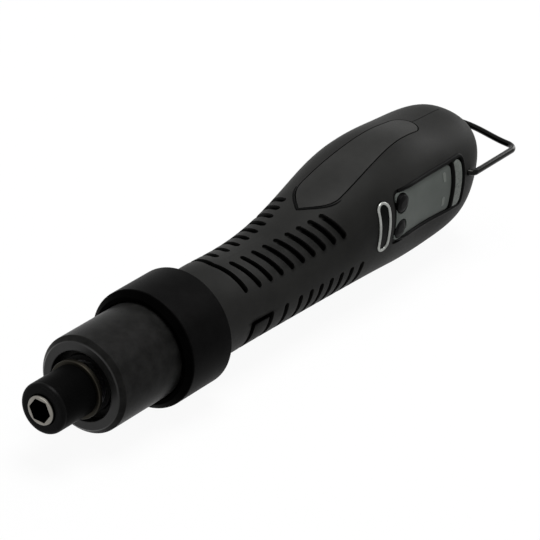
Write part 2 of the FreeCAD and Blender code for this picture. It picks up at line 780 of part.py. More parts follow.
def make_motor():
    """Brushless motor: can, end cap, wound stator and magnet rotor on its shaft."""
    can_bore = dim.motor_radius - dim.motor_wall
    inner_front = motor_front + dim.motor_front_wall
    turned("motor_can", [
        (motor_front, motor_seat_radius), (inner_front, motor_seat_radius), (inner_front, can_bore),
        (motor_rear, can_bore), (motor_rear, dim.motor_radius), (motor_front, dim.motor_radius)])
    turned("motor_end_cap",
           tube_corners(motor_rear, dim.end_cap_thickness, motor_seat_radius, dim.motor_radius))
    shaft_front = planet_front
    shaft_rear = end_cap_rear + dim.end_cap_thickness
    turned("rotor_shaft", [(shaft_front, 0), (shaft_rear, 0), (shaft_rear, dim.rotor_shaft_radius),
                           (shaft_front, dim.rotor_shaft_radius)])
    rotor_front = (inner_front + motor_rear - dim.rotor_length) / 2
    rotor_rear = rotor_front + dim.rotor_length
    turned("rotor_magnet", tube_corners(rotor_front, dim.rotor_length,
                                        dim.rotor_shaft_radius + dim.seat_gap, dim.rotor_radius))
    core_radius = float(can_bore - dim.seat_gap)
    tooth_width = float(dim.stator_tooth_width)
    length = float(dim.rotor_length)
    coil_thickness = float(dim.coil_thickness)
    yoke_radius = core_radius - float(dim.stator_yoke)
    bore = rod(at(rotor_rear), FORWARD, dim.rotor_radius + dim.air_gap, length)
    core = rod(at(rotor_rear), FORWARD, core_radius, length)
    core = core.cut(rod(at(rotor_rear), FORWARD, yoke_radius, length))
    coils = []
    count = int(float(dim.stator_teeth))
    for i in range(count):
        turn = 360.0 * i / count
        tooth = Part.makeBox(length, tooth_width, yoke_radius + OVERLAP,
                             at(rotor_rear, -tooth_width / 2))
        winding = Part.makeBox(length + 2 * coil_thickness, tooth_width + 2 * coil_thickness,
                               float(dim.coil_height),
                               at(rotor_rear + dim.coil_thickness, -tooth_width / 2 - coil_thickness,
                                  dim.coil_inner_radius))
        winding = winding.cut(tooth)
        for piece in (tooth, winding):
            piece.rotate(XYZ(), FORWARD, turn)
        core = core.fuse(tooth.cut(bore))
        coils.append(winding)
    solid_feature("stator_core", core.removeSplitter())
    solid_feature("stator_coils", Part.Compound(coils))


def stations():
    """Return each housing station as its distance back, half width, height above and depth below."""
    rows = [(collar_rear, dim.neck_radius, dim.neck_radius, dim.neck_radius)]
    for name in ("grip", "rise", "swell", "crown", "rear", "tail", "heel", "end"):
        rows.append([getattr(dim, "{}_{}".format(name, part))
                     for part in ("back", "width", "top", "bottom")])
    return [[float(number) for number in row] for row in rows]


def section_wire(back, width, top, bottom, inset):
    """Return a closed section of four curves that leave the crown, sides and belly squarely."""
    neck = float(dim.neck_radius)
    swell = (top - neck) / (float(dim.rear_top) - neck)
    fullness = float(dim.neck_fullness) + swell * float(dim.rear_fullness - dim.neck_fullness)
    level = float(dim.level_share) * (top - bottom) / 2
    width, top, bottom = width - inset, top - inset, bottom - inset
    corners = [(0, top), (width, level), (0, -bottom), (-width, level)]
    edges = []
    for i, (y0, z0) in enumerate(corners):
        y1, z1 = corners[(i + 1) % len(corners)]
        if y0 == 0:
            poles = [(y0, z0), (fullness * y1, z0), (y1, z1 + fullness * (z0 - z1)), (y1, z1)]
        else:
            poles = [(y0, z0), (y0, z0 + fullness * (z1 - z0)), (fullness * y0, z1), (y1, z1)]
        curve = Part.BezierCurve()
        curve.setPoles([at(back, y, z) for y, z in poles])
        edges.append(curve.toShape())
    return Part.Wire(edges)


def housing(inset, overrun=0.0):
    """Return the housing's outer form, drawn in by inset and run on forwards by overrun."""
    rows = stations()
    wires = [section_wire(*row, inset) for row in rows[:-1]]
    back, width, top, bottom = rows[-1]
    wires.append(section_wire(back - inset, width, top, bottom, inset))
    if overrun:
        back, width, top, bottom = rows[0]
        wires.insert(0, section_wire(back - overrun, width, top, bottom, inset))
    return Part.makeLoft(wires, True)


def box_between(back_from, back_to, y_from, y_to, z_from, z_to):
    """Return a box between these places."""
    lengths = [float(back_to) - float(back_from), float(y_to) - float(y_from), float(z_to) - float(z_from)]
    return Part.makeBox(*lengths, at(back_to, y_from, z_from))


def side_prism(middle_back, level, length, height, corner, y_from):
    """Return a rounded block that runs out of the left side from y_from."""
    length, height = float(length), float(height)
    block = box_between(float(middle_back) - length / 2, float(middle_back) + length / 2,
                        y_from, FAR, float(level) - height / 2, float(level) + height / 2)
    upright = [edge for edge in block.Edges
               if edge.tangentAt(edge.FirstParameter).cross(LEFT).Length < TOUCH]
    return block.makeFillet(min(float(corner), JUST_UNDER_HALF * min(length, height)), upright)


def cross_rod(back, height, radius, y_from, y_to):
    """Return a round rod that lies across the tool."""
    return rod(at(back, y_from, height), LEFT, radius, float(y_to) - float(y_from))


def lever_prism(grow):
    """Return the leaf-shaped block that the start lever is cut from, grown all round by grow."""
    ease = float(dim.lever_ease)
    shoulder = float(dim.lever_shoulder)
    rear = float(dim.lever_rear)
    tail = rear + float(dim.lever_tail) + grow
    width = float(dim.lever_width) + grow
    rear_width = float(dim.lever_rear_width) + grow
    nose = shoulder - float(dim.lever_apex)
    apex = float(dim.lever_apex) - grow * math.hypot(1, ease * nose / (width * (1 - ease)))
    rise, run = shoulder - apex, rear - shoulder
    front_poles = [(apex, 0), (apex + ease * rise, (1 - ease) * width), (shoulder - ease * rise, width),
                   (shoulder, width)]
    rear_poles = [(shoulder, width), (shoulder + ease * run, width), (rear - ease * run, rear_width),
                  (rear, rear_width)]
    edges = [Part.Arc(at(rear, rear_width), at(tail), at(rear, -rear_width)).toShape()]
    for side in (1, -1):
        for poles in (front_poles, rear_poles):
            curve = Part.BezierCurve()
            curve.setPoles([at(back, side * y) for back, y in poles])
            edges.append(curve.toShape())
    outline = Part.Wire(Part.__sortEdges__(edges))
    return Part.Face(outline).extrude(UP * FAR)


def groove_cutters():
    """Return the blocks that the grip's grooves are cut with, before their floors are taken away."""
    width = float(dim.groove_width)
    overlap = math.degrees(width / 2 / float(dim.grip_top))
    blocks = []
    for side in (1, -1):
        blocks.append(side_slot(side, dim.border_groove_back, -overlap, dim.border_groove_to,
                                dim.border_groove_lean, dim.grip_top))
        for i in range(int(float(dim.groove_count))):
            back = dim.side_groove_back + i * dim.groove_pitch - i * (i - 1) / 2 * dim.groove_pitch_loss
            blocks.append(side_slot(side, back, dim.side_groove_from + i * dim.side_groove_drop,
                                    dim.side_groove_to, dim.side_groove_lean,
                                    dim.grip_top + i * dim.groove_radius_gain))
    top = float(dim.belly_groove_top)
    backs = [float(getattr(dim, f"belly_groove_{i}_back")) for i in range(1, 11)]
    for back in backs:
        block = box_between(back - width / 2, back + width / 2, -FAR, FAR, -FAR, top)
        blocks.append(block.fuse(cross_rod(back, top, width / 2, -FAR, FAR)).removeSplitter())
    arch_top = top + width / 2
    blocks.append(box_between(backs[0], backs[1], -FAR, FAR, arch_top - float(dim.belly_groove_arch), arch_top))
    return blocks


def side_slot(side, back, start, stop, lean, radius):
    """Return the block of one groove on a side: from start to stop degrees off the top, leaning back."""
    start, stop, lean, radius = (float(value) for value in (start, stop, lean, radius))
    half_chord = radius * math.sin(math.radians(stop - start) / 2)
    return rounded_slot(back, float(dim.groove_width), half_chord / math.cos(math.radians(lean)),
                        side * math.radians((start + stop) / 2), side * lean)


def rounded_slot(back, width, half_length, turn, lean):
    """Return a round-ended block across the tool, leaning in plan and then turned from upright."""
    straight = half_length - width / 2
    slot = box_between(float(back) - width / 2, float(back) + width / 2, -straight, straight, 0, FAR)
    for end in (-straight, straight):
        slot = slot.fuse(rod(at(back, end), UP, width / 2, FAR))
    slot = slot.removeSplitter()
    slot.rotate(at(back), UP, lean)
    slot.rotate(XYZ(), FORWARD, -math.degrees(turn))
    return slot


def screw_places():
    """Return where the housing screws are, as distance back and height."""
    return [(getattr(dim, name + "_back"), getattr(dim, name + "_height")) for name in SCREWS]


def inner_features(middle_wall):
    """Return what the housing carries inside, trimmed to the middle of its wall."""
    stop_front = end_cap_rear + dim.slide_gap
    stop = box_between(stop_front, stop_front + dim.motor_stop_thickness, -FAR, FAR, -FAR, FAR)
    stop = stop.cut(rod(at(stop_front + dim.motor_stop_thickness), FORWARD, dim.motor_stop_radius,
                        dim.motor_stop_thickness))
    pieces = [stop]
    rib_inner = dim.switch_half_width + dim.slide_gap
    rib_bottom = dim.switch_bottom + dim.switch_rib_margin
    rib_top = switch_top - dim.switch_rib_margin
    switch_rear = dim.switch_back + dim.switch_length
    for rib_front in (dim.switch_back + dim.switch_rib_inset,
                      switch_rear - dim.switch_rib_inset - dim.switch_rib):
        for side in (1, -1):
            pieces.append(box_between(rib_front, rib_front + dim.switch_rib,
                                      min(side * float(rib_inner), side * FAR),
                                      max(side * float(rib_inner), side * FAR), rib_bottom, rib_top))
    for back, height in screw_places():
        pieces.append(cross_rod(back, height, dim.screw_boss, -FAR, FAR))
    pin_boss = cross_rod(dim.lever_pin_back, dim.lever_pin_height, dim.screw_boss, -FAR, FAR)
    lug_room = float(dim.lever_lug_half + dim.loose_gap)
    pieces.append(pin_boss.cut(box_between(dim.lever_pin_back - 2 * dim.screw_boss,
                                           dim.lever_pin_back + 2 * dim.screw_boss,
                                           -lug_room, lug_room, 0, FAR)))
    return [piece.common(middle_wall) for piece in pieces]


def make_shells():
    """Left and right housing shells, parted on the centre plane."""
    outer = housing(0.0)
    wall = float(dim.shell_wall)
    shell = outer.cut(housing(wall, float(dim.collar_rear_wall)))
    shell = shell.cut(lever_prism(float(dim.lever_gap)))
    spigot_front = case_rear + dim.slide_gap
    spigot_length = collar_rear - spigot_front + dim.shell_wall
    spigot = rod(at(spigot_front + spigot_length), FORWARD, dim.neck_radius - dim.neck_step, spigot_length)
    flange = rod(at(spigot_front + dim.shell_flange), FORWARD, collar_bore - dim.slide_gap, dim.shell_flange)
    neck = spigot.fuse(flange)
    neck = neck.cut(rod(at(spigot_front + spigot_length), FORWARD,
                        dim.neck_radius - dim.shell_wall + dim.neck_step, spigot_length))
    shell = shell.fuse([neck] + inner_features(housing(wall / 2)))
    cuts = []
    for back, height in screw_places():
        hole = dim.screw_radius + dim.seat_gap
        cuts.append(cross_rod(back, height, hole, -FAR, dim.screw_reach + dim.loose_gap))
        cuts.append(cross_rod(back, height, dim.screw_head_radius + dim.slide_gap, -FAR,
                              dim.screw_seat * -1))
    cuts.append(cross_rod(dim.lever_pin_back, dim.lever_pin_height, dim.lever_pin_radius + dim.seat_gap,
                          dim.lever_pin_half * -1 - dim.slide_gap, dim.lever_pin_half + dim.slide_gap))
    cuts.append(cross_rod(dim.bail_back, dim.bail_height, dim.bail_wire + dim.slide_gap, -FAR, FAR))
    cuts.append(rod(at(dim.end_back + FAR, 0, dim.inlet_height), FORWARD,
                    dim.inlet_radius + dim.slide_gap, dim.end_back + FAR - dim.inlet_front))
    shell = shell.cut(cuts)
    floor = housing(float(dim.groove_depth), float(dim.collar_rear_wall))
    shell = shell.cut([slot.cut(floor) for slot in groove_cutters()])
    left = shell.common(box_between(0, dim.end_back + FAR, 0, FAR, -FAR, FAR))
    right = shell.common(box_between(0, dim.end_back + FAR, -FAR, 0, -FAR, FAR))
    lens_room = side_prism(dim.lens_back, dim.lens_level, dim.lens_width + 2 * dim.slide_gap,
                           dim.lens_height + 2 * dim.slide_gap, FAR, 0)
    bezel_room = side_prism(bezel_middle, dim.bezel_level, dim.bezel_length + 2 * dim.slide_gap,
                            dim.bezel_height + 2 * dim.slide_gap, dim.bezel_corner + dim.slide_gap, 0)
    solid_feature("left_shell", left.cut([lens_room, bezel_room]))
    half_shelf = dim.spring_shelf_size / 2
    shelf = box_between(dim.spring_shelf_back - half_shelf, dim.spring_shelf_back + half_shelf,
                        -FAR, half_shelf, dim.spring_shelf_top - dim.shell_wall, dim.spring_shelf_top)
    solid_feature("right_shell", right.fuse(shelf.common(housing(wall / 2))))


def bound_box(name, back_rear, y_from, z_from, length, width, height):
    """Return a box tied to the sheet, from its rear lower right corner."""
    box = document.addObject("Part::Box", name)
    box.setExpression("Length", as_size(length).text)
    box.setExpression("Width", as_size(width).text)
    box.setExpression("Height", as_size(height).text)
    box.setExpression("Placement.Base.x", (back_rear * -1).text)
    box.setExpression("Placement.Base.y", as_size(y_from).text)
    box.setExpression("Placement.Base.z", as_size(z_from).text)
    return box


def bound_rod(name, direction, back, y_from, z_from, radius, length):
    """Return a cylinder tied to the sheet."""
    item = document.addObject("Part::Cylinder", name)
    item.setExpression("Radius", radius.text)
    item.setExpression("Height", as_size(length).text)
    item.Placement.Rotation = FreeCAD.Rotation(UP, direction)
    item.setExpression("Placement.Base.x", (back * -1).text)
    item.setExpression("Placement.Base.y", as_size(y_from).text)
    item.setExpression("Placement.Base.z", as_size(z_from).text)
    return item


def make_start_lever():
    """Start lever with its lug, striker and spring pad, its pin and its spring."""
    leaf = lever_prism(0.0)
    plate = housing(0.0).common(leaf).cut(housing(float(dim.lever_wall)))
    pin_back, pin_height = dim.lever_pin_back, dim.lever_pin_height
    lug = box_between(pin_back - dim.lever_lug_radius, pin_back + dim.lever_lug_radius,
                      dim.lever_lug_half * -1, dim.lever_lug_half, pin_height, FAR)
    hub = cross_rod(pin_back, pin_height, dim.lever_lug_radius, dim.lever_lug_half * -1, dim.lever_lug_half)
    half_striker = dim.striker_thickness / 2
    striker = box_between(dim.plunger_back - half_striker, dim.plunger_back + half_striker,
                          half_striker * -1, half_striker, plunger_top + dim.seat_gap, FAR)
    half_pad = dim.lever_spring_radius + dim.loose_gap
    pad = box_between(dim.spring_shelf_back - half_pad, dim.spring_shelf_back + half_pad,
                      half_pad * -1, half_pad, dim.spring_pad_height, FAR)
    under = housing(float(dim.lever_wall) / 2)
    lever = plate.fuse([piece.common(under) for piece in (lug.fuse(hub), striker, pad)])
    bore = cross_rod(pin_back, pin_height, dim.lever_pin_radius + dim.running_gap, -FAR, FAR)
    solid_feature("start_lever", lever.cut(bore))
    keep("lever_pin", bound_rod("lever_pin", LEFT, pin_back, dim.lever_pin_half * -1, pin_height,
                                dim.lever_pin_radius, 2 * dim.lever_pin_half))
    solid_feature("lever_spring", coil(at(dim.spring_shelf_back, 0, dim.spring_shelf_top), UP,
                                       dim.lever_spring_radius, dim.lever_spring_wire,
                                       dim.lever_spring_turns,
                                       dim.spring_pad_height - dim.spring_shelf_top))


def make_start_switch():
    """Switch block clamped between the shells, with a plunger under the lever's striker."""
    block = bound_box("switch_block", dim.switch_back + dim.switch_length, dim.switch_half_width * -1,
                      dim.switch_bottom, dim.switch_length, 2 * dim.switch_half_width, dim.switch_height)
    well_depth = dim.plunger_depth + dim.plunger_travel + dim.loose_gap
    well = bound_rod("plunger_well", UP, dim.plunger_back, 0, switch_top - well_depth,
                     dim.plunger_radius + dim.running_gap, well_depth)
    switch = document.addObject("Part::Cut", "start_switch")
    switch.Base = block
    switch.Tool = well
    document.recompute()
    keep("start_switch", switch)
    keep("switch_plunger", bound_rod("switch_plunger", UP, dim.plunger_back, 0,
                                     switch_top - dim.plunger_depth, dim.plunger_radius,
                                     dim.plunger_depth + dim.plunger_rise))


def make_panel():
    """Bezel tray, bare legend plate, two buttons, two lamp lenses and the board behind them."""
    level, back_plane = dim.bezel_level, dim.bezel_back_plane
    tray_floor = back_plane + dim.bezel_floor
    plate_height = dim.bezel_height - 2 * dim.bezel_border
    plate_middle = dim.bezel_front + dim.bezel_border + dim.plate_length / 2
    gap = 2 * dim.slide_gap
    button_levels = [level - dim.button_spread / 2, level + dim.button_spread / 2]
    button_room = dim.button_radius + dim.loose_gap
    button_holes = [cross_rod(dim.button_back, height, button_room, 0, FAR) for height in button_levels]
    bezel = side_prism(bezel_middle, level, dim.bezel_length, dim.bezel_height, dim.bezel_corner, back_plane)
    bezel = bezel.common(housing(float(dim.bezel_sunk)))
    plate_room = side_prism(plate_middle, level, dim.plate_length + gap, plate_height + gap,
                            dim.plate_corner, tray_floor)
    lens_room = side_prism(rear_lens_middle, level, dim.rear_lens_width + gap, dim.rear_lens_height + gap,
                           FAR, 0)
    bezel = bezel.cut([plate_room, lens_room] + button_holes)
    board_top = dim.board_plane + dim.board_thickness
    posts = [cross_rod(plate_middle, height, dim.board_post_radius, board_top + dim.seat_gap, tray_floor)
             for height in button_levels]
    solid_feature("panel_bezel", bezel.fuse(posts))
    plate = side_prism(plate_middle, level, dim.plate_length, plate_height, dim.plate_corner,
                       tray_floor + dim.seat_gap)
    plate = plate.common(housing(float(dim.plate_sunk)))
    solid_feature("legend_plate", plate.cut(button_holes))
    flange_rear_plane = back_plane - dim.loose_gap
    flange_plane = flange_rear_plane - dim.button_flange
    for label, height in zip(("lower_button", "upper_button"), button_levels):
        stem = bound_rod(label + "_stem", LEFT, dim.button_back, flange_plane, height,
                         dim.button_radius, dim.button_face - flange_plane)
        flange = bound_rod(label + "_flange", LEFT, dim.button_back, flange_plane, height,
                           button_room + dim.loose_gap, dim.button_flange)
        button = document.addObject("Part::Fuse", label)
        button.Base = stem
        button.Tool = flange
        document.recompute()
        keep(label, button)
    proud = housing(-float(dim.lens_proud))
    for label, middle, middle_level, width, height in (
            ("front_lamp_lens", dim.lens_back, dim.lens_level, dim.lens_width, dim.lens_height),
            ("rear_lamp_lens", rear_lens_middle, level, dim.rear_lens_width, dim.rear_lens_height)):
        lens = side_prism(middle, middle_level, width, height, FAR, back_plane)
        solid_feature(label, lens.common(proud))
    board_rear = dim.board_front + dim.board_length
    keep("control_board", bound_box("control_board", board_rear, dim.board_plane,
                                    level - plate_height / 2, dim.board_length,
                                    dim.board_thickness, plate_height))
    switch_height = flange_plane - dim.button_travel - dim.slide_gap - board_top
    group("button_switches", [
        bound_box("button_switch_{}".format(i + 1), dim.button_back + dim.button_radius, board_top,
                  height - dim.button_radius, 2 * dim.button_radius, switch_height, 2 * dim.button_radius)
        for i, height in enumerate(button_levels)])
    group("panel_lamps", [
        bound_box("panel_lamp_{}".format(i + 1), middle + dim.lamp_size / 2, board_top,
                  middle_level - dim.lamp_size / 2, dim.lamp_size, dim.lamp_size, dim.lamp_size)
        for i, (middle, middle_level) in enumerate(((dim.lens_back, dim.lens_level),
                                                    (rear_lens_middle, level)))])


def make_cord_inlet():
    """Round cord inlet in the rear end, its contact pins and its ring nut; no cord is fitted."""
    inlet_rear = dim.end_back + dim.inlet_proud
    wall_front = dim.end_back - dim.shell_wall
    flange_rear_face = wall_front - dim.seat_gap
    flange_front_face = flange_rear_face - dim.inlet_flange
    bore_floor = inlet_rear - dim.inlet_depth
    inlet = turned("cord_inlet", [
        (dim.inlet_front, 0), (bore_floor, 0), (bore_floor, dim.inlet_bore), (inlet_rear, dim.inlet_bore),
        (inlet_rear, dim.inlet_radius), (flange_rear_face, dim.inlet_radius),
        (flange_rear_face, dim.inlet_flange_radius), (flange_front_face, dim.inlet_flange_radius),
        (flange_front_face, dim.inlet_radius), (dim.inlet_front, dim.inlet_radius)])
    nut = turned("inlet_nut", tube_corners(dim.end_back + dim.seat_gap, dim.inlet_nut,
                                           dim.inlet_radius + dim.seat_gap, dim.inlet_nut_radius))
    for body in (inlet, nut):
        body.setExpression("Placement.Base.z", dim.inlet_height.text)
    pin_ring("inlet_pins", dim.inlet_pin_radius, bore_floor + dim.seat_gap, dim.inlet_pin_reach,
             dim.inlet_pin_circle, dim.inlet_pin_count, dim.inlet_height)


def bend(start, middle, stop):
    """Return an arc through three points."""
    return Part.Arc(start, middle, stop).toShape()


def make_bail():
    """Steel wire bail, its two ends turned in through the sides of the housing."""
    back, height = float(dim.bail_back), float(dim.bail_height)
    half, inner = float(dim.bail_half_width), float(dim.bail_inner_half)
    hook, corner = float(dim.bail_hook_bend), float(dim.bail_bend)
    far = back + float(dim.bail_reach)
    slack = 1 - math.sqrt(0.5)
    cross = Part.BezierCurve()
    bow = 1.28 * float(dim.bail_bow)  # poles stand 64/50 of the way out that the curve reaches
    cross.setPoles([at(far + out, share * (half - corner), height) for out, share in
                    ((0, 1), (0, 0.7), (bow, 0.4), (bow, 0), (bow, -0.4), (0, -0.7), (0, -1))])
    edges = [cross.toShape()]
    for side in (1, -1):
        hook_start = at(back, side * (half - hook), height)
        hook_middle = at(back + hook * slack, side * (half - hook * slack), height)
        hook_stop = at(back + hook, side * half, height)
        bend_start = at(far - corner, side * half, height)
        bend_middle = at(far - corner * slack, side * (half - corner * slack), height)
        bend_stop = at(far, side * (half - corner), height)
        edges.append(Part.makeLine(at(back, side * inner, height), hook_start))
        edges.append(bend(hook_start, hook_middle, hook_stop))
        edges.append(Part.makeLine(hook_stop, bend_start))
        edges.append(bend(bend_start, bend_middle, bend_stop))
    path = Part.Wire(Part.__sortEdges__(edges))
    start = path.Edges[0].firstVertex().Point
    direction = path.Edges[0].tangentAt(path.Edges[0].FirstParameter)
    profile = Part.Wire(Part.makeCircle(float(dim.bail_wire), start, direction))
    solid_feature("bail", path.makePipeShell([profile], True, False))


def make_screws():
    """Housing screws, put in from the right side."""
    screws = []
    for back, height in screw_places():
        shank = cross_rod(back, height, dim.screw_radius, dim.screw_seat * -1, dim.screw_reach)
        head = cross_rod(back, height, dim.screw_head_radius, (dim.screw_seat + dim.screw_head) * -1,
                         dim.screw_seat * -1)
        screws.append(shank.fuse(head))
    solid_feature("shell_screws", Part.Compound(screws))


make_bit_holder()
make_chuck()
make_clutch()
make_bearings()
make_gears()
make_motor()
make_shells()
make_start_lever()
make_start_switch()
make_panel()
make_cord_inlet()
make_bail()
make_screws()


def check_nodes():
    """Stop if any object failed, or if a sub-part isn't one valid solid or a set of equal ones."""
    sets = ("clutch_pins", "planet_pins", "stator_coils", "button_switches", "panel_lamps", "inlet_pins",
            "shell_screws")
    document.recompute()
    for item in document.Objects:
        if any(word in item.State for word in ("Invalid", "Error")):
            raise RuntimeError("{} failed to build".format(item.Name))
    for label, item in nodes.items():
        if item.Shape.isNull() or not item.Shape.isValid() or not item.Shape.Solids:
            raise RuntimeError("{} has no valid solid".format(label))
        if len(item.Shape.Solids) > 1 and label not in sets:
            raise RuntimeError("{} is in several pieces".format(label))


check_nodes()
os.makedirs("parts", exist_ok=True)
for label, item in nodes.items():
    item.Shape.exportStep(os.path.join("parts", label + ".step"))
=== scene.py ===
"""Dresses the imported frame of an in-line electric screwdriver and sets up its studio.

Frame: metres, +X out of the bit socket, +Y to the tool's left, +Z up. Sizes in the classes are in
millimetres, and "back" is the distance behind the mouth of the bit socket, as in the part's source.
"""

import json
import logging
import math
from dataclasses import dataclass
from enum import Enum
from typing import Sequence

import bmesh
import bpy
from mathutils import Matrix, Vector
from mathutils.bvhtree import BVHTree


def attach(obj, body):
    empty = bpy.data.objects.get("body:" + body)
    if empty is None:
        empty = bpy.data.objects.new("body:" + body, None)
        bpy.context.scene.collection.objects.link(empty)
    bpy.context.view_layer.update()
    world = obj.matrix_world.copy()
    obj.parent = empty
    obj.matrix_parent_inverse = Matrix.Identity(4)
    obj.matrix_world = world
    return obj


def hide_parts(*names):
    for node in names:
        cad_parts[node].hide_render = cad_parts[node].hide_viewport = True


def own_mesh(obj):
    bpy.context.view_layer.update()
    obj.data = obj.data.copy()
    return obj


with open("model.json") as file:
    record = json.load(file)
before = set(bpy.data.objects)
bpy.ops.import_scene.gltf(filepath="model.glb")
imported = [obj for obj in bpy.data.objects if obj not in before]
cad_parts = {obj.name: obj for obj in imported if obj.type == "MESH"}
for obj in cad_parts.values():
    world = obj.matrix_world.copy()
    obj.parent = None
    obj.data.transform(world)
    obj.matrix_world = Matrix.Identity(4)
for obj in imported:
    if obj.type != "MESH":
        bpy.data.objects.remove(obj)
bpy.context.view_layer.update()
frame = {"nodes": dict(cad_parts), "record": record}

LOG = logging.getLogger("screwdriver")
MM = 0.001
MERGE = 1e-7
SEAM_MERGE = 1e-6
ALMOST_HALF = 0.499
AHEAD = Vector((1.0, 0.0, 0.0))
UPWARD = Vector((0.0, 0.0, 1.0))
DOWNWARD = Vector((0.0, 0.0, -1.0))
RIGHTWARD = Vector((0.0, -1.0, 0.0))

Mesh = bpy.types.Mesh
Node = bpy.types.Node
Socket = bpy.types.NodeSocket
Inputs = bpy.types.NodeOutputs
Colour = tuple[float, float, float]
Corner = tuple[float, float, float]
Spot = tuple[float, float]
Met = list[tuple[Vector, Vector]]
Rays = list[list[tuple[Vector, Vector]]]


class Body(Enum):
    """The moving bodies that pieces ride on."""

    HOUSING = "housing"
    SPINDLE = "spindle"
    CHUCK = "chuck"
    RING = "ring"
    LEVER = "lever"
    UPPER_KEY = "upper_key"
    LOWER_KEY = "lower_key"
    HANGER = "hanger"


class Pattern(Enum):
    """What the fine relief of a finish looks like."""

    GRAIN = "even moulded grain"
    TURNED = "rings round the tool's axis"
    BANDS = "bands across the tool"


class NodeBoard:
    """Adds nodes to one tree and joins them."""

    def __init__(self, tree: bpy.types.NodeTree) -> None:
        """Takes the tree that the nodes go into."""
        self.tree = tree

    @classmethod
    def cleared(cls, owner: bpy.types.Material | bpy.types.World) -> "NodeBoard":
        """Empties the node tree of a material or a world.

        Args:
            owner: The material or world.

        Returns:
            A board for its tree.
        """
        owner.use_nodes = True
        owner.node_tree.nodes.clear()
        return cls(owner.node_tree)

    def add(self, kind: str, values: dict | None = None, **settings: object) -> Node:
        """Adds one node.

        Args:
            kind: Blender's name for the type of node.
            values: What each input gets, by its name or number, as join takes it.
            settings: Properties of the node itself.

        Returns:
            The new node.
        """
        node = self.tree.nodes.new(kind)
        for key, value in settings.items():
            setattr(node, key, value)
        for key, value in (values or {}).items():
            self.join(value, node.inputs[key])
        return node

    def join(self, value: object, entry: Socket) -> None:
        """Gives an input what it needs.

        Args:
            value: A value, an output, or a node, which stands for its first output in use.
            entry: The input.
        """
        if isinstance(value, Node):
            value = next(socket for socket in value.outputs if socket.enabled)
        if isinstance(value, Socket):
            self.tree.links.new(value, entry)
        else:
            entry.default_value = value

    def reckon(self, operation: str, first: object, second: object) -> Node:
        """Adds a node that works out one value from two, given Blender's name for how."""
        return self.add("ShaderNodeMath", {0: first, 1: second}, operation=operation)


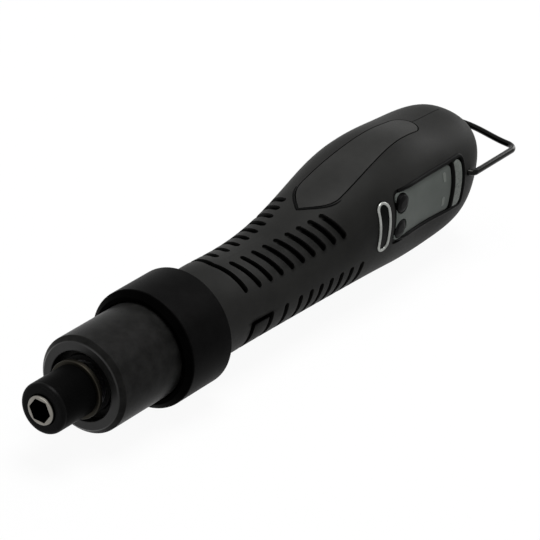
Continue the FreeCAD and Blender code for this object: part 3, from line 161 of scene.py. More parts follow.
@dataclass(frozen=True)
class Finish:
    """One surface finish, made as a node material on Object coordinates."""

    name: str
    slot: str
    colour: Colour
    roughness: float
    relief_mm: float
    depth_mm: float
    metallic: float = 0.0
    specular: float = 0.5
    pattern: Pattern = Pattern.GRAIN
    cloud_mm: float = 14.0
    cloud_stops: tuple[float, float] = (0.3, 0.7)
    colour_spread: float = 0.25
    relief_range: tuple[float, float] = (0.25, 0.75)
    rough_spread: float = 0.08
    axis_height: float = 0.0
    # Share of the colour taken away by shade painted into the grooves.
    painted_groove_shade: float = 0.0
    # Front-face mask: in front of this distance back, light or shade is painted as another share of
    # colour and gloss.
    painted_face_back: float | None = None
    painted_face_blur: float = 0.1
    painted_face_share: float = 1.0
    front_specular: float = 0.5

    def make(self) -> bpy.types.Material:
        """Returns the finish's material, made at its first use."""
        known = bpy.data.materials.get(self.name)
        if known is not None:
            return known
        material = bpy.data.materials.new(self.name)
        board = NodeBoard.cleared(material)
        place = board.add("ShaderNodeTexCoord").outputs["Object"]
        cloud = board.add("ShaderNodeTexNoise", {
            "Vector": place, "Scale": 1 / (self.cloud_mm * MM), "Detail": 3.0, "Roughness": 0.6})
        relief = self.relief(board, place)
        ramp = board.add("ShaderNodeValToRGB", {"Fac": cloud})
        spreads = (-self.colour_spread, self.colour_spread)
        for stop, position, spread in zip(ramp.color_ramp.elements, self.cloud_stops, spreads):
            stop.position = position
            stop.color = (*(min(1.0, part * (1 + spread)) for part in self.colour), 1.0)
        rough = board.add("ShaderNodeMapRange", {
            "Value": relief, "From Min": self.relief_range[0], "From Max": self.relief_range[1],
            "To Min": max(0.02, self.roughness - self.rough_spread),
            "To Max": min(1.0, self.roughness + self.rough_spread)})
        bump = board.add("ShaderNodeBump", {
            "Strength": 1.0, "Distance": self.depth_mm * MM, "Height": relief})
        shader = board.add("ShaderNodeBsdfPrincipled", {
            "Base Color": ramp, "Roughness": rough, "Normal": bump, "Metallic": self.metallic,
            "Specular IOR Level": self.specular})
        # Painted shade: the groove attribute darkens colour and gloss on the groove floors.
        if self.painted_groove_shade > 0:
            groove = board.add("ShaderNodeAttribute", attribute_name="groove").outputs["Fac"]
            kept = 1.0 - self.painted_groove_shade
            self.paint_light_and_shade(board, groove, shader, kept, self.specular * kept)
        # Painted light or shade on the face in front of the given distance back.
        if self.painted_face_back is not None:
            along = board.add("ShaderNodeSeparateXYZ", {"Vector": place}).outputs["X"]
            front = board.add("ShaderNodeMapRange", {
                "Value": along, "From Min": -(self.painted_face_back + self.painted_face_blur) * MM,
                "From Max": -(self.painted_face_back - self.painted_face_blur) * MM})
            self.paint_light_and_shade(board, front, shader, self.painted_face_share, self.front_specular)
        board.add("ShaderNodeOutputMaterial", {"Surface": shader})
        return material

    def paint_light_and_shade(self, board: NodeBoard, where: Node | Socket, shader: Node, share: float,
             specular: float) -> None:
        """Paints light or shade into the finish where a mask says so, as another depth of colour
        and gloss.

        Args:
            board: The board of the material's tree.
            where: The node or socket with the mask, 0 to 1.
            shader: The shader node.
            share: What is left of the colour where the mask is 1.
            specular: The specular level where the mask is 1.
        """
        colour, gloss = shader.inputs["Base Color"], shader.inputs["Specular IOR Level"]
        kept = board.add("ShaderNodeMapRange", {"Value": where, "To Min": 1.0, "To Max": share})
        board.join(board.add("ShaderNodeVectorMath", {
            0: colour.links[0].from_socket, "Scale": kept}, operation="SCALE"), colour)
        board.join(board.add("ShaderNodeMapRange", {
            "Value": where, "To Min": self.specular, "To Max": specular}), gloss)

    def relief(self, board: NodeBoard, place: Node | Socket) -> Node:
        """Adds the nodes of the fine relief.

        Args:
            board: The board of the material's tree.
            place: The socket with the Object coordinates.

        Returns:
            A node with a height about 0.5.
        """
        if self.pattern is Pattern.GRAIN:
            look = {"Vector": place, "Detail": 2.0, "Roughness": 0.55}
        else:
            x, y, z = board.add("ShaderNodeSeparateXYZ", {"Vector": place}).outputs
            parts = {"X": x}
            if self.pattern is Pattern.TURNED:
                height = board.reckon("SUBTRACT", z, self.axis_height * MM)
                flat = board.add("ShaderNodeCombineXYZ", {"X": y, "Y": height})
                parts["Y"] = board.add("ShaderNodeVectorMath", {0: flat}, operation="LENGTH")
            place = board.add("ShaderNodeCombineXYZ", parts)
            look = {"Vector": place, "Detail": 4.0, "Roughness": 0.7}
        return board.add("ShaderNodeTexNoise", {"Scale": 1 / (self.relief_mm * MM), **look})


# The housing plastic, with shade painted into its grooves.
HOUSING_BLACK = Finish(
    "moulded_housing_black", "housing_black", (0.012, 0.012, 0.0114), 0.5, 0.35, 0.012,
    specular=0.035, cloud_mm=16.0, colour_spread=0.2, painted_groove_shade=0.92)
# A lighter, glossier copy of the housing plastic for the lever on top: painted light.
LEVER_BLACK_PAINTED_LIGHTER = Finish(
    "lever_black_painted_lighter", "housing_black", (0.0165, 0.0165, 0.0157), 0.5, 0.35, 0.01,
    specular=0.055)
# Near-black copy of the housing plastic: painted shadow in the gap at the lever's front, and the
# dark parting line.
SEAM_BLACK = Finish(
    "shadowed_seam_black", "housing_black", (0.0012, 0.0012, 0.0012), 0.6, 0.3, 0.004,
    specular=0.02)
# The collar's front face is painted near black: painted shade in the gap behind the ring.
COLLAR_BLACK = Finish(
    "moulded_collar_black", "collar_black", (0.0016, 0.0016, 0.0016), 0.43, 0.3, 0.006,
    specular=0.013, cloud_mm=5.0, colour_spread=0.4, painted_face_back=46.2, painted_face_share=0.3,
    front_specular=0.005)
# The ring's front face is painted darker, as painted shade, and made glossier so it reflects the
# floor.
RING_BLACK = Finish(
    "moulded_ring_black", "ring_black", (0.008, 0.008, 0.0077), 0.36, 0.3, 0.006,
    specular=0.025, cloud_mm=4.0, colour_spread=0.4, painted_face_back=18.3, painted_face_share=0.6,
    front_specular=0.28)
# The sleeve's nose face is painted lighter and glossier: a painted highlight.
SLEEVE_BLACK = Finish(
    "blackened_sleeve", "sleeve_black", (0.0015, 0.0015, 0.0015), 0.4, 0.25, 0.004,
    specular=0.008, pattern=Pattern.TURNED, painted_face_back=2.3, painted_face_share=1.5, front_specular=0.035)
# The bit holder's mouth face is painted twenty times lighter: a painted highlight on its rim.
BARE_STEEL = Finish(
    "machined_steel", "bare_steel", (0.01, 0.0095, 0.0085), 0.3, 0.12, 0.003, metallic=1.0,
    pattern=Pattern.TURNED, colour_spread=0.08, painted_face_back=0.3, painted_face_share=20.0)
END_RING_STEEL = Finish(
    "sleeve_end_steel", "bare_steel", (0.02, 0.018, 0.014), 0.45, 0.12, 0.003, metallic=1.0,
    pattern=Pattern.TURNED, colour_spread=0.1)
BRIGHT_WIRE = Finish(
    "dark_polished_wire", "bright_wire", (0.009, 0.009, 0.0085), 0.14, 0.2, 0.002, metallic=1.0,
    colour_spread=0.06, rough_spread=0.04)
RIM_SILVER = Finish(
    "silvered_window_rim", "bright_wire", (0.27, 0.276, 0.262), 0.4, 0.3, 0.006, metallic=1.0,
    cloud_mm=2.0, colour_spread=0.2)
SPRING_STEEL = Finish(
    "drawn_spring_wire", "spring_steel", (0.22, 0.22, 0.23), 0.35, 0.2, 0.004, metallic=1.0,
    colour_spread=0.1)
GEAR_STEEL = Finish(
    "cut_gear_steel", "gear_steel", (0.32, 0.32, 0.33), 0.3, 0.15, 0.003, metallic=1.0,
    pattern=Pattern.TURNED, colour_spread=0.08)
CASE_ALLOY = Finish(
    "die_cast_alloy", "case_alloy", (0.36, 0.36, 0.37), 0.45, 0.4, 0.01, metallic=1.0,
    colour_spread=0.1)
CASE_DARK = Finish(
    "blackened_case", "case_alloy", (0.006, 0.006, 0.006), 0.5, 0.3, 0.006, specular=0.05,
    pattern=Pattern.TURNED)
NUT_DARK = Finish(
    "dark_inlet_nut", "case_alloy", (0.03, 0.03, 0.031), 0.4, 0.2, 0.004, metallic=1.0,
    pattern=Pattern.TURNED, axis_height=6.0)
MOTOR_ZINC = Finish(
    "zinc_plated_can", "motor_zinc", (0.24, 0.24, 0.25), 0.38, 0.5, 0.006, metallic=1.0)
MAGNET_DARK = Finish(
    "plated_magnet", "magnet_dark", (0.09, 0.09, 0.095), 0.35, 0.3, 0.004, metallic=1.0)
CORE_STEEL = Finish(
    "laminated_core", "core_steel", (0.14, 0.14, 0.145), 0.45, 0.5, 0.03, metallic=1.0,
    pattern=Pattern.BANDS)
COPPER = Finish(
    "wound_copper", "copper", (0.45, 0.19, 0.08), 0.32, 0.35, 0.05, metallic=1.0,
    pattern=Pattern.BANDS)
GOLD_PIN = Finish(
    "plated_contact_pin", "gold_pin", (0.6, 0.42, 0.14), 0.22, 0.2, 0.002, metallic=1.0,
    colour_spread=0.06)
PLATE_GREY = Finish(
    "satin_plate_grey", "plate_grey", (0.083, 0.092, 0.085), 0.46, 0.25, 0.004, specular=0.06,
    cloud_mm=9.0, colour_spread=0.08)
PIP_PALE = Finish(
    "pale_plate_pip", "plate_grey", (0.13, 0.142, 0.13), 0.4, 0.25, 0.004, specular=0.06,
    cloud_mm=1.5, colour_spread=0.1)
BORDER_BLACK = Finish(
    "panel_border_black", "border_black", (0.0015, 0.0016, 0.0015), 0.45, 0.3, 0.004,
    specular=0.03)
BUTTON_BLACK = Finish(
    "soft_button_black", "button_black", (0.0018, 0.0018, 0.0018), 0.4, 0.3, 0.004, specular=0.03)
CLEAR_LENS = Finish(
    "dark_front_window", "clear_lens", (0.002, 0.0025, 0.002), 0.3, 0.6, 0.01, specular=0.025,
    cloud_mm=1.6, colour_spread=0.7)
GREY_LENS = Finish(
    "smoked_window", "grey_lens", (0.1, 0.11, 0.1), 0.3, 0.8, 0.01, specular=0.1, cloud_mm=2.5,
    colour_spread=0.2)
BOARD_GREEN = Finish(
    "lacquered_board", "board_green", (0.02, 0.11, 0.05), 0.3, 0.8, 0.02, cloud_mm=3.0)
SWITCH_GREY = Finish(
    "moulded_switch_grey", "switch_grey", (0.07, 0.07, 0.075), 0.5, 0.35, 0.01)


def linked(name: str, data: bpy.types.ID) -> bpy.types.Object:
    """Puts a new object into the scene.

    Args:
        name: Its name.
        data: Its mesh, camera or light.

    Returns:
        The object.
    """
    thing = bpy.data.objects.new(name, data)
    bpy.context.scene.collection.objects.link(thing)
    return thing


class Recipe:
    """A geometry node tree, made at its first use, that shapes a mesh and sets its finish."""

    name: str
    inputs: dict[str, str]

    def shape(self, board: NodeBoard, given: Inputs) -> Node:
        """Adds the nodes that shape the mesh.

        Args:
            board: The tree's board.
            given: What the tree is given, by name.

        Returns:
            The node with the shaped geometry.
        """
        raise NotImplementedError

    def tree(self) -> bpy.types.NodeTree:
        """Returns the tree, which ends by smoothing, realizing and dressing what it shaped."""
        known = bpy.data.node_groups.get(self.name)
        if known is not None:
            return known
        tree = bpy.data.node_groups.new(self.name, "GeometryNodeTree")
        for label, kind in {"Geometry": "Geometry", **self.inputs, "Finish": "Material"}.items():
            tree.interface.new_socket(label, in_out="INPUT", socket_type="NodeSocket" + kind)
        tree.interface.new_socket("Geometry", in_out="OUTPUT", socket_type="NodeSocketGeometry")
        board = NodeBoard(tree)
        given = board.add("NodeGroupInput").outputs
        smooth = board.add("GeometryNodeSetShadeSmooth", {"Geometry": self.shape(board, given)})
        real = board.add("GeometryNodeRealizeInstances", {"Geometry": smooth})
        dressed = board.add("GeometryNodeSetMaterial", {
            "Geometry": real, "Material": given["Finish"]})
        board.add("NodeGroupOutput", {"Geometry": dressed})
        return tree

    def run(self, mesh: Mesh, finish: Finish, values: dict[str, object]) -> Mesh:
        """Runs the tree on a mesh.

        Args:
            mesh: What goes into it.
            finish: The finish of the result.
            values: What each of the recipe's own inputs gets, by its name.

        Returns:
            The result as a plain mesh.
        """
        bench = linked("bench", mesh)
        modifier = bench.modifiers.new("tree", "NODES")
        modifier.node_group = self.tree()
        names = {item.name: item.identifier for item in modifier.node_group.interface.items_tree
                 if item.item_type == "SOCKET" and item.in_out == "INPUT"}
        for label, value in {**values, "Finish": finish.make()}.items():
            modifier[names[label]] = value
        shaped = bench.evaluated_get(bpy.context.evaluated_depsgraph_get())
        result = bpy.data.meshes.new_from_object(shaped)
        bench.modifiers.remove(modifier)
        bpy.data.objects.remove(bench)
        return result


class TurnedPiece(Recipe):
    """Turns an outline in the XY plane round the tool's axis."""

    name = "turned_piece"
    inputs = {"Steps": "Int", "Turning Radius": "Float"}

    def shape(self, board: NodeBoard, given: Inputs) -> Node:
        """Sweeps the outline round a circle, whose axis it lays along the tool."""
        outline = board.add("GeometryNodeMeshToCurve", {"Mesh": given["Geometry"]})
        circle = board.add("GeometryNodeCurvePrimitiveCircle", {
            "Resolution": given["Steps"], "Radius": given["Turning Radius"]})
        swept = board.add("GeometryNodeCurveToMesh", {"Curve": circle, "Profile Curve": outline})
        closed = board.add("GeometryNodeMergeByDistance", {
            "Geometry": swept, "Distance": SEAM_MERGE})
        return board.add("GeometryNodeTransform", {
            "Geometry": closed, "Rotation": (0.0, math.radians(90.0), 0.0)})


class BentWire(Recipe):
    """Draws a round wire along a path, whose bend attribute says how its corners are bent."""

    name = "bent_wire"
    inputs = {"Wire Radius": "Float", "Sides": "Int", "Bend Steps": "Int"}

    def shape(self, board: NodeBoard, given: Inputs) -> Node:
        """Bends the path and sweeps a circle along it."""
        path = board.add("GeometryNodeMeshToCurve", {"Mesh": given["Geometry"]})
        bend = board.add("GeometryNodeInputNamedAttribute", {"Name": "bend"}, data_type="FLOAT")
        bent = board.add("GeometryNodeFilletCurve", {
            "Curve": path, "Count": given["Bend Steps"], "Radius": bend}, mode="POLY")
        circle = board.add("GeometryNodeCurvePrimitiveCircle", {
            "Resolution": given["Sides"], "Radius": given["Wire Radius"]})
        return board.add("GeometryNodeCurveToMesh", {
            "Curve": bent, "Profile Curve": circle, "Fill Caps": True})


class SetPips(Recipe):
    """Sets a thin pill at every point, turned to the point's facing attribute."""

    name = "set_pips"
    inputs = {"Width": "Float", "Height": "Float", "Rise": "Float", "Bend Steps": "Int"}

    def shape(self, board: NodeBoard, given: Inputs) -> Node:
        """Makes one closed pill, half of it sunk, and sets a copy at every point."""
        outline = board.add("GeometryNodeCurvePrimitiveQuadrilateral", {
            "Width": given["Width"], "Height": given["Height"]})
        half = board.reckon("MULTIPLY", given["Width"], ALMOST_HALF)
        pill = board.add("GeometryNodeFilletCurve", {
            "Curve": outline, "Count": given["Bend Steps"], "Radius": half}, mode="POLY")
        face = board.add("GeometryNodeFillCurve", {"Curve": pill}, mode="NGONS")
        sunk = board.reckon("MULTIPLY", given["Rise"], -1.0)
        down = board.add("ShaderNodeCombineXYZ", {"Z": sunk})
        laid = board.add("GeometryNodeTransform", {"Geometry": face, "Translation": down})
        twice = board.reckon("MULTIPLY", given["Rise"], 2.0)
        raised = board.add("GeometryNodeExtrudeMesh", {
            "Mesh": laid, "Offset Scale": twice, "Individual": False}, mode="FACES")
        back_face = board.add("GeometryNodeFlipFaces", {"Mesh": laid})
        both = board.add("GeometryNodeJoinGeometry")
        for part in (raised, back_face):
            board.join(part, both.inputs["Geometry"])
        closed = board.add("GeometryNodeMergeByDistance", {"Geometry": both, "Distance": MERGE})
        facing = board.add("GeometryNodeInputNamedAttribute", {"Name": "facing"},
                           data_type="FLOAT_VECTOR")
        turn = board.add("FunctionNodeAlignRotationToVector", {"Vector": facing}, axis="Z")
        return board.add("GeometryNodeInstanceOnPoints", {
            "Points": given["Geometry"], "Instance": closed, "Rotation": turn})


class PaintedGrooveShade(Recipe):
    """Marks the shade painted into a shell's grooves by their distance from the floors' lines."""

    name = "painted_groove_mask"
    inputs = {"Lines": "Object", "Floor Reach": "Float", "Rim Reach": "Float"}

    def shape(self, board: NodeBoard, given: Inputs) -> Node:
        """Stores the groove attribute, the painted shade's mask: 1 on the floors, 0 past the rims.
        """
        lines = board.add("GeometryNodeObjectInfo", {"Object": given["Lines"]})
        near = board.add("GeometryNodeProximity", {0: lines.outputs["Geometry"]},
                         target_element="EDGES")
        share = board.add("ShaderNodeMapRange", {
            "Value": near.outputs["Distance"], "From Min": given["Rim Reach"],
            "From Max": given["Floor Reach"]})
        return board.add("GeometryNodeStoreNamedAttribute", {
            "Geometry": given["Geometry"], "Name": "groove", "Value": share},
            data_type="FLOAT", domain="POINT")


class SetScrews(Recipe):
    """Cuts a cross in a screw blank and sets a copy at every point, turned at random."""

    name = "set_screws"
    inputs = {"Blank": "Object", "Cross Width": "Float", "Cross Length": "Float",
              "Cross Depth": "Float", "Head": "Float", "Seed": "Int"}

    def shape(self, board: NodeBoard, given: Inputs) -> Node:
        """Cuts the two bars of the cross and sets the copies."""
        shape = board.add("GeometryNodeObjectInfo", {"Object": given["Blank"]}).outputs["Geometry"]
        place = board.add("ShaderNodeCombineXYZ", {"X": given["Head"]})
        twice = board.reckon("MULTIPLY", given["Cross Depth"], 2.0)
        for along, across in (("Cross Length", "Cross Width"), ("Cross Width", "Cross Length")):
            size = board.add("ShaderNodeCombineXYZ", {
                "X": twice, "Y": given[along], "Z": given[across]})
            bar = board.add("GeometryNodeMeshCube", {"Size": size})
            bar = board.add("GeometryNodeTransform", {"Geometry": bar, "Translation": place})
            shape = board.add("GeometryNodeMeshBoolean", {"Mesh 1": shape, "Mesh 2": bar},
                              operation="DIFFERENCE")
        turn = board.add("FunctionNodeRandomValue", {"Max": math.pi, "Seed": given["Seed"]},
                         data_type="FLOAT")
        heading = board.add("ShaderNodeCombineXYZ", {"X": turn, "Z": math.radians(-90.0)})
        return board.add("GeometryNodeInstanceOnPoints", {
            "Points": given["Geometry"], "Instance": shape, "Rotation": heading})


def rounded(corners: Sequence[Corner], closed: bool) -> list[Spot]:
    """Rounds the corners of an outline.

    Args:
        corners: Distance back, radius and rounding of each corner, in millimetres.
        closed: Whether the last corner joins the first.

    Returns:
        The points of the outline, with a guard point beside every rounded corner.
    """
    steps, most_of_side, guard_reach, guard_share = 6, 0.49, 0.08, 0.2
    points = []
    count = len(corners)
    for i, (back, radius, ease) in enumerate(corners):
        corner = Vector((back, radius))
        if ease == 0 or (not closed and i in (0, count - 1)):
            points.append(tuple(corner))
            continue
        before = Vector(corners[i - 1][:2]) - corner
        after = Vector(corners[(i + 1) % count][:2]) - corner
        half = before.angle(after) / 2
        reach = min(ease / math.tan(half), most_of_side * before.length,
                    most_of_side * after.length)
        before, after = before.normalized(), after.normalized()
        start, stop = corner + before * reach, corner + after * reach
        guard = min(guard_reach, guard_share * reach)
        points.append(tuple(start + before * guard))
        for j in range(steps + 1):
            s = j / steps
            points.append(tuple(start * (1 - s) ** 2 + corner * 2 * s * (1 - s) + stop * s ** 2))
        points.append(tuple(stop + after * guard))
    return points


def line(start: Sequence[float], stop: Sequence[float], steps: int) -> list[tuple[float, ...]]:
    """Returns evenly spaced points from a start to a stop, with both, given the number of steps."""
    return [tuple(a + (b - a) * step / steps for a, b in zip(start, stop))
            for step in range(steps + 1)]


def arc(middle: Spot, radius: float, first: float, sweep: float, steps: int) -> list[Spot]:
    """Returns points along an arc.

    Args:
        middle: The arc's middle.
        radius: Its radius.
        first: The angle at which it starts, in degrees.
        sweep: How far it turns, in degrees.
        steps: How many pieces it has.

    Returns:
        The points, with both ends.
    """
    angles = [math.radians(first + sweep * step / steps) for step in range(steps + 1)]
    return [(middle[0] + radius * math.cos(angle), middle[1] + radius * math.sin(angle))
            for angle in angles]


def path_mesh(points: Sequence[Sequence[float]], closed: bool) -> Mesh:
    """Joins points by edges.

    Args:
        points: The points, in millimetres.
        closed: Whether the last point joins the first.

    Returns:
        The mesh of edges.
    """
    mesh = bpy.data.meshes.new("path")
    count = len(points)
    edges = [(i, (i + 1) % count) for i in range(count if closed else count - 1)]
    mesh.from_pydata([[part * MM for part in point] for point in points], edges, [])
    return mesh


def search_tree(mesh: Mesh) -> BVHTree:
    """Returns a tree that finds where looks meet a mesh."""
    return BVHTree.FromPolygons([point.co for point in mesh.vertices],
                                [face.vertices for face in mesh.polygons])


class SubAssembly:
    """What every sub-assembly can do: shape meshes, place pieces and dress CAD nodes."""

    sharp_angle = math.radians(35.0)
    turning_radius = 5.0
    bead_sides = 14
    look_start = 80.0

    def turned(self, corners: Sequence[Corner], finish: Finish, steps: int = 128,
               closed: bool = True, rise: float = 0.0) -> Mesh:
        """Turns an outline round the tool's axis.

        Args:
            corners: Distance back, radius and rounding of each corner, in millimetres.
            finish: The finish of the piece.
            steps: How many flats the turning has.
            closed: Whether the outline is a closed ring.
            rise: How far above the tool's axis the turning's axis lies, in millimetres.

        Returns:
            The turned mesh, with its faces pointing outwards.
        """
        outline = [(radius - self.turning_radius, back, 0.0)
                   for back, radius in rounded(corners, closed)]
        mesh = TurnedPiece().run(path_mesh(outline, closed), finish, {
            "Steps": steps, "Turning Radius": self.turning_radius * MM})
        mesh.transform(Matrix.Translation((0.0, 0.0, rise * MM)))
        return self.tidied(mesh)

    def tidied(self, mesh: Mesh, outwards: bool = True) -> Mesh:
        """Merges doubled points and keeps sharp edges sharp.

        Args:
            mesh: The mesh to tidy.
            outwards: Whether its faces have to be pointed outwards.

        Returns:
            The same mesh.
        """
        work = bmesh.new()
        work.from_mesh(mesh)
        bmesh.ops.remove_doubles(work, verts=work.verts, dist=MERGE)
        if outwards:
            bmesh.ops.recalc_face_normals(work, faces=work.faces)
        for face in work.faces:
            face.smooth = True
        for edge in work.edges:
            edge.smooth = edge.calc_face_angle(0.0) < self.sharp_angle
        work.to_mesh(mesh)
        work.free()
        return mesh

    def merged_copy(self, node: str) -> Mesh:
        """Copies a CAD node's mesh, merges its loose triangles and smooths it.

        Args:
            node: The node's name.

        Returns:
            The copy.
        """
        mesh = frame["nodes"][node].data.copy()
        for layer in ("custom_normal", "sharp_face", "sharp_edge"):
            if layer in mesh.attributes:
                mesh.attributes.remove(mesh.attributes[layer])
        return self.tidied(mesh, outwards=False)

    def bead(self, points: Sequence[Sequence[float]], radius: float, finish: Finish,
             closed: bool = False) -> Mesh:
        """Lays a round bead along points in millimetres.

        Args:
            points: The points.
            radius: The bead's radius, in millimetres.
            finish: The bead's finish.
            closed: Whether the last point joins the first.

        Returns:
            The bead's mesh.
        """
        path = path_mesh(points, closed)
        path.attributes.new("bend", "FLOAT", "POINT")
        return self.tidied(BentWire().run(path, finish, {
            "Wire Radius": radius * MM, "Sides": self.bead_sides, "Bend Steps": 1}))

    def faces_met(self, tree: BVHTree, places: Sequence[Sequence[float]], heading: Vector) -> Met:
        """Looks at a mesh from outside the tool.

        Args:
            tree: The mesh's search tree.
            places: A point that each look goes through, in millimetres.
            heading: The direction of the looks.

        Returns:
            Where each look that meets the mesh does so, in metres, and the mesh's normal there.
        """
        looks = [tree.ray_cast(Vector(place) * MM - heading * self.look_start * MM, heading)
                 for place in places]
        return [(look[0], look[1]) for look in looks if look[0] is not None]

    def place(self, name: str, mesh: Mesh, finish: Finish, *nodes: str,
              body: Body = Body.HOUSING) -> bpy.types.Object:
        """Places a finished mesh as a piece.

        Args:
            name: The piece's name.
            mesh: Its mesh, already in its place.
            finish: Its finish.
            nodes: The CAD nodes that it stands for.
            body: The body that it rides on.

        Returns:
            The piece.
        """
        mesh.name = name
        mesh.materials.clear()
        mesh.materials.append(finish.make())
        piece = linked(name, mesh)
        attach(piece, body.value)
        if nodes:
            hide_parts(*nodes)
        LOG.info("%s rides on %s, %d faces", name, body.value, len(mesh.polygons))
        return piece

    def spring(self, name: str, node: str, joint: str, axis: Vector, travel: float) -> None:
        """Places a spring as a copy of its CAD node, on the body that the record gives it.

        Args:
            name: The piece's name.
            node: The CAD node that it stands for.
            joint: The joint's name; not used.
            axis: The spring's axis, from the end that stays to the end that moves; not used.
            travel: How far the moving end goes, in millimetres; not used.
        """
        bodies = frame["record"]["behaviour"]["bodies"]
        body = next(Body(key) for key, members in bodies.items() if node in members)
        piece = self.place(name, self.merged_copy(node), SPRING_STEEL, node, body=body)
        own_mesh(piece)

    def dress(self, finish: Finish, *nodes: str) -> None:
        """Gives CAD nodes a finish.

        Args:
            finish: The finish.
            nodes: The nodes' names.
        """
        for node in nodes:
            mesh = frame["nodes"][node].data
            mesh.materials.clear()
            mesh.materials.append(finish.make())
            LOG.info("%s is dressed in %s", node, finish.name)


@dataclass
class Chuck(SubAssembly):
    """The bit holder, its sliding sleeve and the ring behind the sleeve."""

    sleeve_front: float = 0.9
    sleeve_rear: float = 15.3
    sleeve_radius: float = 7.7
    bore: float = 4.6
    chamber: float = 6.3
    chamber_front: float = 8.0
    ring_radius: float = 8.8
    ring_rear: float = 16.8
    ring_bore: float = 4.8
    spigot_room: float = 0.02
    spigot_length: float = 0.8
    mouth_ease: float = 0.6
    sleeve_travel: float = 2.2
    rim_inside: float = 4.2

    def eased(self, mesh: Mesh) -> Mesh:
        """Rounds the outer edge of the bit holder's mouth.

        Args:
            mesh: The holder's mesh, with its mouth at the origin.

        Returns:
            The same mesh.
        """
        work = bmesh.new()
        work.from_mesh(mesh)
        bmesh.ops.dissolve_limit(work, angle_limit=math.radians(0.5), verts=work.verts,
                                 edges=work.edges)
        mouth = [edge for edge in work.edges if edge.calc_face_angle(0.0) > self.sharp_angle
                 and all(abs(vert.co.x) < 1e-6 and vert.co.length > self.rim_inside * MM
                         for vert in edge.verts)]
        bmesh.ops.bevel(work, geom=mouth, offset=self.mouth_ease * MM, segments=4, profile=0.5,
                        affect="EDGES")
        bmesh.ops.triangulate(work, faces=work.faces)
        work.to_mesh(mesh)
        work.free()
        return self.tidied(mesh)

    def build(self) -> None:
        """Makes the sleeve, its end ring and the bit holder, and dresses what stays CAD."""
        sleeve = self.turned([
            (self.sleeve_front, self.bore, 0.25), (self.chamber_front, self.bore, 0.2),
            (self.chamber_front, self.chamber, 0.2), (self.sleeve_rear, self.chamber, 0.1),
            (self.sleeve_rear, self.sleeve_radius, 0.3),
            (self.sleeve_front, self.sleeve_radius, 2.8)], SLEEVE_BLACK)
        self.place("sleeve", sleeve, SLEEVE_BLACK, "chuck_sleeve", body=Body.CHUCK)
        spigot = self.chamber - self.spigot_room
        spigot_front = self.sleeve_rear - self.spigot_length
        end_ring = self.turned([
            (spigot_front, self.ring_bore, 0.1), (self.ring_rear, self.ring_bore, 0.2),
            (self.ring_rear, self.ring_radius, 0.35), (self.sleeve_rear, self.ring_radius, 0.35),
            (self.sleeve_rear, spigot, 0.05), (spigot_front, spigot, 0.1)], END_RING_STEEL)
        self.place("sleeve_ring", end_ring, END_RING_STEEL, "sleeve_end_ring", body=Body.CHUCK)
        holder = self.eased(self.merged_copy("bit_holder"))
        self.place("hex_bit_holder", holder, BARE_STEEL, "bit_holder", body=Body.SPINDLE)
        self.spring("sleeve_coil", "sleeve_spring", "sleeve_slide", AHEAD, self.sleeve_travel)
        self.dress(SPRING_STEEL, "holder_circlip")
        self.dress(GEAR_STEEL, "bit_detent_ball")


@dataclass
class ClutchHead(SubAssembly):
    """The torque ring and the collar that it screws into, with the clutch inside."""

    ring_front: float = 18.0
    ring_rear: float = 46.0
    ring_radius: float = 14.75
    ring_bore: float = 13.15
    recess_radius: float = 10.6
    recess_floor: float = 21.4
    flange_rear: float = 26.0
    thread_radius: float = 8.54
    chamfer: float = 1.6
    collar_front: float = 44.6
    collar_rear: float = 65.0
    collar_radius: float = 18.15
    collar_bore: float = 15.05
    neck_bore: float = 14.25
    collar_chamfer: float = 1.8
    rear_wall: float = 1.6
    rear_bevel: float = 0.9
    seat_travel: float = 4.6

    def build(self) -> None:
        """Makes the torque ring and the collar, and dresses the clutch."""
        ring = self.turned([
            (self.ring_front, self.recess_radius, 0.35),
            (self.recess_floor, self.recess_radius, 0.3),
            (self.recess_floor, self.thread_radius, 0.3),
            (self.flange_rear, self.thread_radius, 0.2),
            (self.flange_rear, self.ring_bore, 0.2), (self.ring_rear, self.ring_bore, 0.15),
            (self.ring_rear, self.ring_radius, 0.3),
            (self.ring_front + self.chamfer, self.ring_radius, 0.5),
            (self.ring_front, self.ring_radius - self.chamfer, 0.5)], RING_BLACK)
        self.place("adjusting_ring", ring, RING_BLACK, "torque_ring", body=Body.RING)
        wall_front = self.collar_rear - self.rear_wall
        collar = self.turned([
            (self.collar_front, self.collar_bore, 0.3), (wall_front, self.collar_bore, 0.2),
            (wall_front, self.neck_bore, 0.1), (self.collar_rear, self.neck_bore, 0.1),
            (self.collar_rear, self.collar_radius - self.rear_bevel, 0.35),
            (self.collar_rear - self.rear_bevel, self.collar_radius, 0.35),
            (self.collar_front + self.collar_chamfer, self.collar_radius, 0.5),
            (self.collar_front, self.collar_radius - self.collar_chamfer, 0.5)], COLLAR_BLACK)
        self.place("collar", collar, COLLAR_BLACK, "clutch_case")
        self.dress(GEAR_STEEL, "spring_seat", "thrust_washer", "clutch_pins",
                   "spindle_front_bearing", "spindle_rear_bearing", "ring_gear", "planet_gear_1",
                   "planet_gear_2", "planet_gear_3", "planet_pins", "sun_pinion")
        self.spring("clutch_coil", "clutch_spring", "ring_turn", AHEAD, self.seat_travel)
        self.dress(CASE_DARK, "gear_case")
        self.dress(CASE_ALLOY, "gear_cover")


